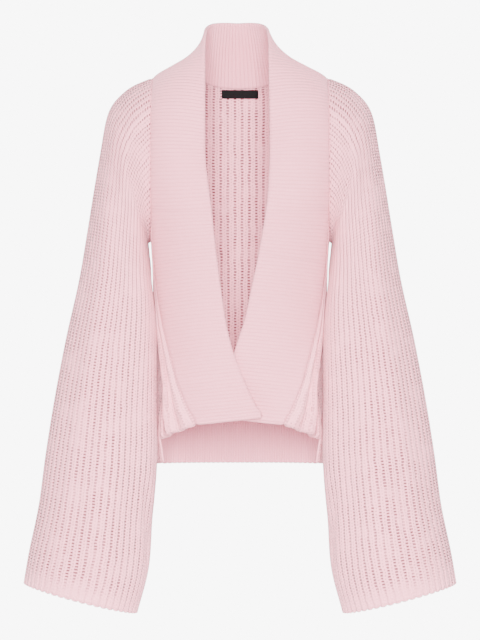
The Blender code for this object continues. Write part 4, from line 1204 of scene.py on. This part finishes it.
class CardiganSettings(bpy.types.PropertyGroup):
    """Sizes and colours that a user would change."""

    yarn_colour: bpy.props.FloatVectorProperty(
        name="Chunky yarn", description="Colour of the chunky knit's yarn", subtype="COLOR",
        size=3, default=(0.86, 0.305, 0.375), min=0, max=1,
    )
    # Painted shade: the colour that the chunky knit's grooves and sunk loops are darkened towards; its random
    # patches drift towards it too
    yarn_painted_shade_and_patches: bpy.props.FloatVectorProperty(
        name="Chunky shade", description="Colour of the chunky yarn between its loops",
        subtype="COLOR", size=3, default=(0.62, 0.18, 0.23), min=0, max=1,
    )
    band_colour: bpy.props.FloatVectorProperty(
        name="Band yarn", description="Colour of the fine rib's yarn", subtype="COLOR", size=3,
        default=(0.74, 0.245, 0.31), min=0, max=1,
    )
    # Painted shade: the colour that the fine rib's grooves and sunk loops are darkened towards; its random
    # patches drift towards it too
    band_painted_shade_and_patches: bpy.props.FloatVectorProperty(
        name="Band shade", description="Colour of the fine rib between its loops",
        subtype="COLOR", size=3, default=(0.60, 0.16, 0.21), min=0, max=1,
    )
    # Painted shade: the dark inside seen through the holes between the ribs, laid on as colour
    painted_hole_shade: bpy.props.FloatVectorProperty(
        name="Hole", description="Colour deep in the holes between the ribs", subtype="COLOR",
        size=3, default=(0.16, 0.035, 0.045), min=0, max=1,
    )
    # How far the holes open, which sets both their sunk bump and their painted shade
    hole_strength: bpy.props.FloatProperty(
        name="Hole strength", description="How dark the holes between the ribs are",
        default=1.0, min=0, max=1, subtype="FACTOR",
    )
    label_colour: bpy.props.FloatVectorProperty(
        name="Label", description="Colour of the bare woven label", subtype="COLOR", size=3,
        default=(0.003, 0.0025, 0.0027), min=0, max=1,
    )
    chunky_height: bpy.props.FloatProperty(
        name="Chunky rib height", description="Height of a chunky rib in millimetres",
        default=1.0, min=0, max=3, unit="NONE",
    )
    fine_height: bpy.props.FloatProperty(
        name="Fine rib height", description="Height of a fine rib in millimetres",
        default=0.9, min=0, max=2, unit="NONE",
    )
    band_pitch: bpy.props.FloatProperty(
        name="Band rib pitch", description="Width of one rib of the band in millimetres",
        default=5.0, min=3, max=9, unit="NONE",
    )
    stitch_length: bpy.props.FloatProperty(
        name="Stitch length", description="Length of one stitch in millimetres", default=4.2,
        min=2, max=8, unit="NONE",
    )
    columns_per_rib: bpy.props.IntProperty(
        name="Columns per rib", description="Mesh columns for each chunky rib", default=6, min=4, max=8
    )
    sleeve_rows: bpy.props.IntProperty(
        name="Sleeve rows", description="Mesh rows along a sleeve", default=150, min=60, max=190
    )
    floor_colour: bpy.props.FloatVectorProperty(
        name="Floor", description="Colour of the floor", subtype="COLOR", size=3,
        default=(0.92, 0.92, 0.92), min=0, max=1,
    )
    key_power: bpy.props.FloatProperty(
        name="Front light", description="Power of the large front light", default=910.0, min=0,
        unit="POWER",
    )
    sky_strength: bpy.props.FloatProperty(
        name="Sky", description="Strength of the white light from all round", default=0.2, min=0
    )
    backdrop_glow: bpy.props.FloatProperty(
        name="Backdrop glow", description="How bright the plain white behind looks", default=8.4, min=0
    )


class CARDIGAN_OT_stage(bpy.types.Operator):
    """Set the camera, the soft lights, the floor and the backdrop"""

    bl_idname = "cardigan.stage"
    bl_label = "Stage"

    def execute(self, context):
        s = settings()
        camera = bpy.data.objects.new("Camera", bpy.data.cameras.new("Camera"))
        camera.data.lens = CAMERA_LENS
        camera.data.sensor_width = 36.0
        camera.location = (0, -CAMERA_DISTANCE, CAMERA_HEIGHT)
        camera.rotation_euler = (math.pi / 2, 0, 0)
        camera.data.clip_end = 50.0
        context.scene.collection.objects.link(camera)
        context.scene.camera = camera
        self.floor(context, s)
        lights = (
            ("Front light", (0.0, -4.4, 0.15), 1.5, s.key_power),
            ("Right light", (-3.2, -2.4, 0.2), 2.0, s.key_power * 0.10),
            ("Left light", (3.2, -2.4, 0.2), 2.0, s.key_power * 0.10),
            ("Top light", (0.0, -0.6, 2.8), 2.2, s.key_power * 0.08),
            ("Back right light", (-3.4, 3.8, 0.8), 1.6, s.key_power * 0.3),
            ("Back left light", (3.4, 3.8, 0.8), 1.6, s.key_power * 0.3),
        )
        for name, place, size, power in lights:
            light = bpy.data.lights.new(name, "AREA")
            light.shape, light.size, light.energy = "SQUARE", size, power
            lamp = bpy.data.objects.new(name, light)
            lamp.location = place
            lamp.visible_camera = False
            aim = np.array([0, 0, -0.33]) - np.array(place)
            lamp.rotation_euler = (
                math.atan2(math.hypot(aim[0], aim[1]), -aim[2]), 0, math.atan2(-aim[0], aim[1])
            )
            context.scene.collection.objects.link(lamp)
        self.surroundings(context, s)
        return {"FINISHED"}

    def surroundings(self, context, s):
        """Plain white that the camera sees all round, and a weaker white light from it."""
        world = bpy.data.worlds.new("Studio")
        world.use_nodes = True
        n = Nodes(world.node_tree)
        background = world.node_tree.nodes["Background"]
        background.inputs["Color"].default_value = (1, 1, 1, 1)
        seen = n.add("ShaderNodeLightPath").outputs["Is Camera Ray"]
        brighter = s.backdrop_glow - s.sky_strength
        n.join(n.maths("MULTIPLY_ADD", seen, brighter, s.sky_strength), background.inputs["Strength"])
        context.scene.world = world

    def floor(self, context, s):
        """A round floor, just below what the camera sees."""
        turns = np.linspace(0, 2 * math.pi, FLOOR_SIDES, endpoint=False)
        rim = [(FLOOR_RADIUS * math.cos(a), FLOOR_RADIUS * math.sin(a), FLOOR_Z) for a in turns]
        mesh = bpy.data.meshes.new("Floor")
        mesh.from_pydata(rim, [], [list(range(FLOOR_SIDES))])
        mesh.update()
        mesh.materials.append(floor_material(s.floor_colour))
        floor = bpy.data.objects.new("Floor", mesh)
        context.scene.collection.objects.link(floor)


class CARDIGAN_OT_sleeves(bpy.types.Operator):
    """Knit the two wide sleeves"""

    bl_idname = "cardigan.sleeves"
    bl_label = "Sleeves"

    def execute(self, context):
        make_sleeve("sleeve_right", RIGHT)
        make_sleeve("sleeve_left", LEFT)
        return {"FINISHED"}


class CARDIGAN_OT_band(bpy.types.Operator):
    """Knit the wide band from hem to hem round the neck"""

    bl_idname = "cardigan.band"
    bl_label = "Wide band"

    def execute(self, context):
        make_band(Band())
        return {"FINISHED"}


class CARDIGAN_OT_back(bpy.types.Operator):
    """Knit the back and its hem band"""

    bl_idname = "cardigan.back"
    bl_label = "Back"

    def execute(self, context):
        back = Back()
        make_back(back)
        make_hem_band(back)
        return {"FINISHED"}


class CARDIGAN_OT_panels(bpy.types.Operator):
    """Knit the side panels and the front side panels"""

    bl_idname = "cardigan.panels"
    bl_label = "Side and front panels"

    def execute(self, context):
        for word, side in (("right", RIGHT), ("left", LEFT)):
            make_side_panel("side_panel_" + word, side)
            make_front_panel("front_panel_" + word, side)
        return {"FINISHED"}


class CARDIGAN_OT_label(bpy.types.Operator):
    """Weave the bare neck label inside the back neck"""

    bl_idname = "cardigan.label"
    bl_label = "Neck label"

    def execute(self, context):
        label = make_label(Back())
        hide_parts("neck_label")
        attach(label, "root")
        return {"FINISHED"}


class CARDIGAN_OT_seams(bpy.types.Operator):
    """Link the pieces with small stitches along the seams"""

    bl_idname = "cardigan.seams"
    bl_label = "Seams"

    def execute(self, context):
        s = settings()
        yarn = yarn_material("Linking yarn", s.band_colour)
        band = Band()
        angles = np.linspace(0, 360, 241)
        for word, side in (("right", RIGHT), ("left", LEFT)):
            flip = np.array([side, 1, 1])
            ring = armhole_point(angles) + armhole_way_out(angles) * 1.0
            seam_line("armhole_seam_" + word, ring * flip, yarn)
        rows = np.linspace(0, 2 * BAND_TOP_ROW, 801)
        edge = sewn_edge(rows)
        lower = len(SEWN_LOWER)
        line = edge[:, :3] + unit(edge[:, 3:]) * 1.0
        at_neck = (rows >= SHOULDER_CORNER_ROW) & (rows <= 2 * BAND_TOP_ROW - SHOULDER_CORNER_ROW)
        seam_line("back_neck_seam", line[at_neck], yarn)
        seam_line("front_seam_right", line[rows <= lower], yarn)
        seam_line("front_seam_left", line[rows >= 2 * BAND_TOP_ROW - lower], yarn)
        return {"FINISHED"}


class CARDIGAN_PT_panel(bpy.types.Panel):
    """Shows the cardigan's settings and a button for each step"""

    bl_idname = "CARDIGAN_PT_panel"
    bl_label = "Cardigan"
    bl_space_type = "VIEW_3D"
    bl_region_type = "UI"
    bl_category = "Cardigan"

    def draw(self, context):
        s = settings()
        for name in s.bl_rna.properties.keys():
            if name not in ("rna_type", "name"):
                self.layout.prop(s, name)
        for operator in STEPS:
            self.layout.operator(operator.bl_idname)


STEPS = (
    CARDIGAN_OT_stage,
    CARDIGAN_OT_band,
    CARDIGAN_OT_back,
    CARDIGAN_OT_panels,
    CARDIGAN_OT_sleeves,
    CARDIGAN_OT_label,
    CARDIGAN_OT_seams,
)
CLASSES = (CardiganSettings, *STEPS, CARDIGAN_PT_panel)


def register():
    for kind in CLASSES:
        bpy.utils.register_class(kind)
    bpy.types.Scene.cardigan = bpy.props.PointerProperty(type=CardiganSettings)


def unregister():
    del bpy.types.Scene.cardigan
    for kind in reversed(CLASSES):
        bpy.utils.unregister_class(kind)


def main():
    register()
    for step in STEPS:
        group, name = step.bl_idname.split(".")
        getattr(getattr(bpy.ops, group), name)()


if __name__ == "__main__":
    main()
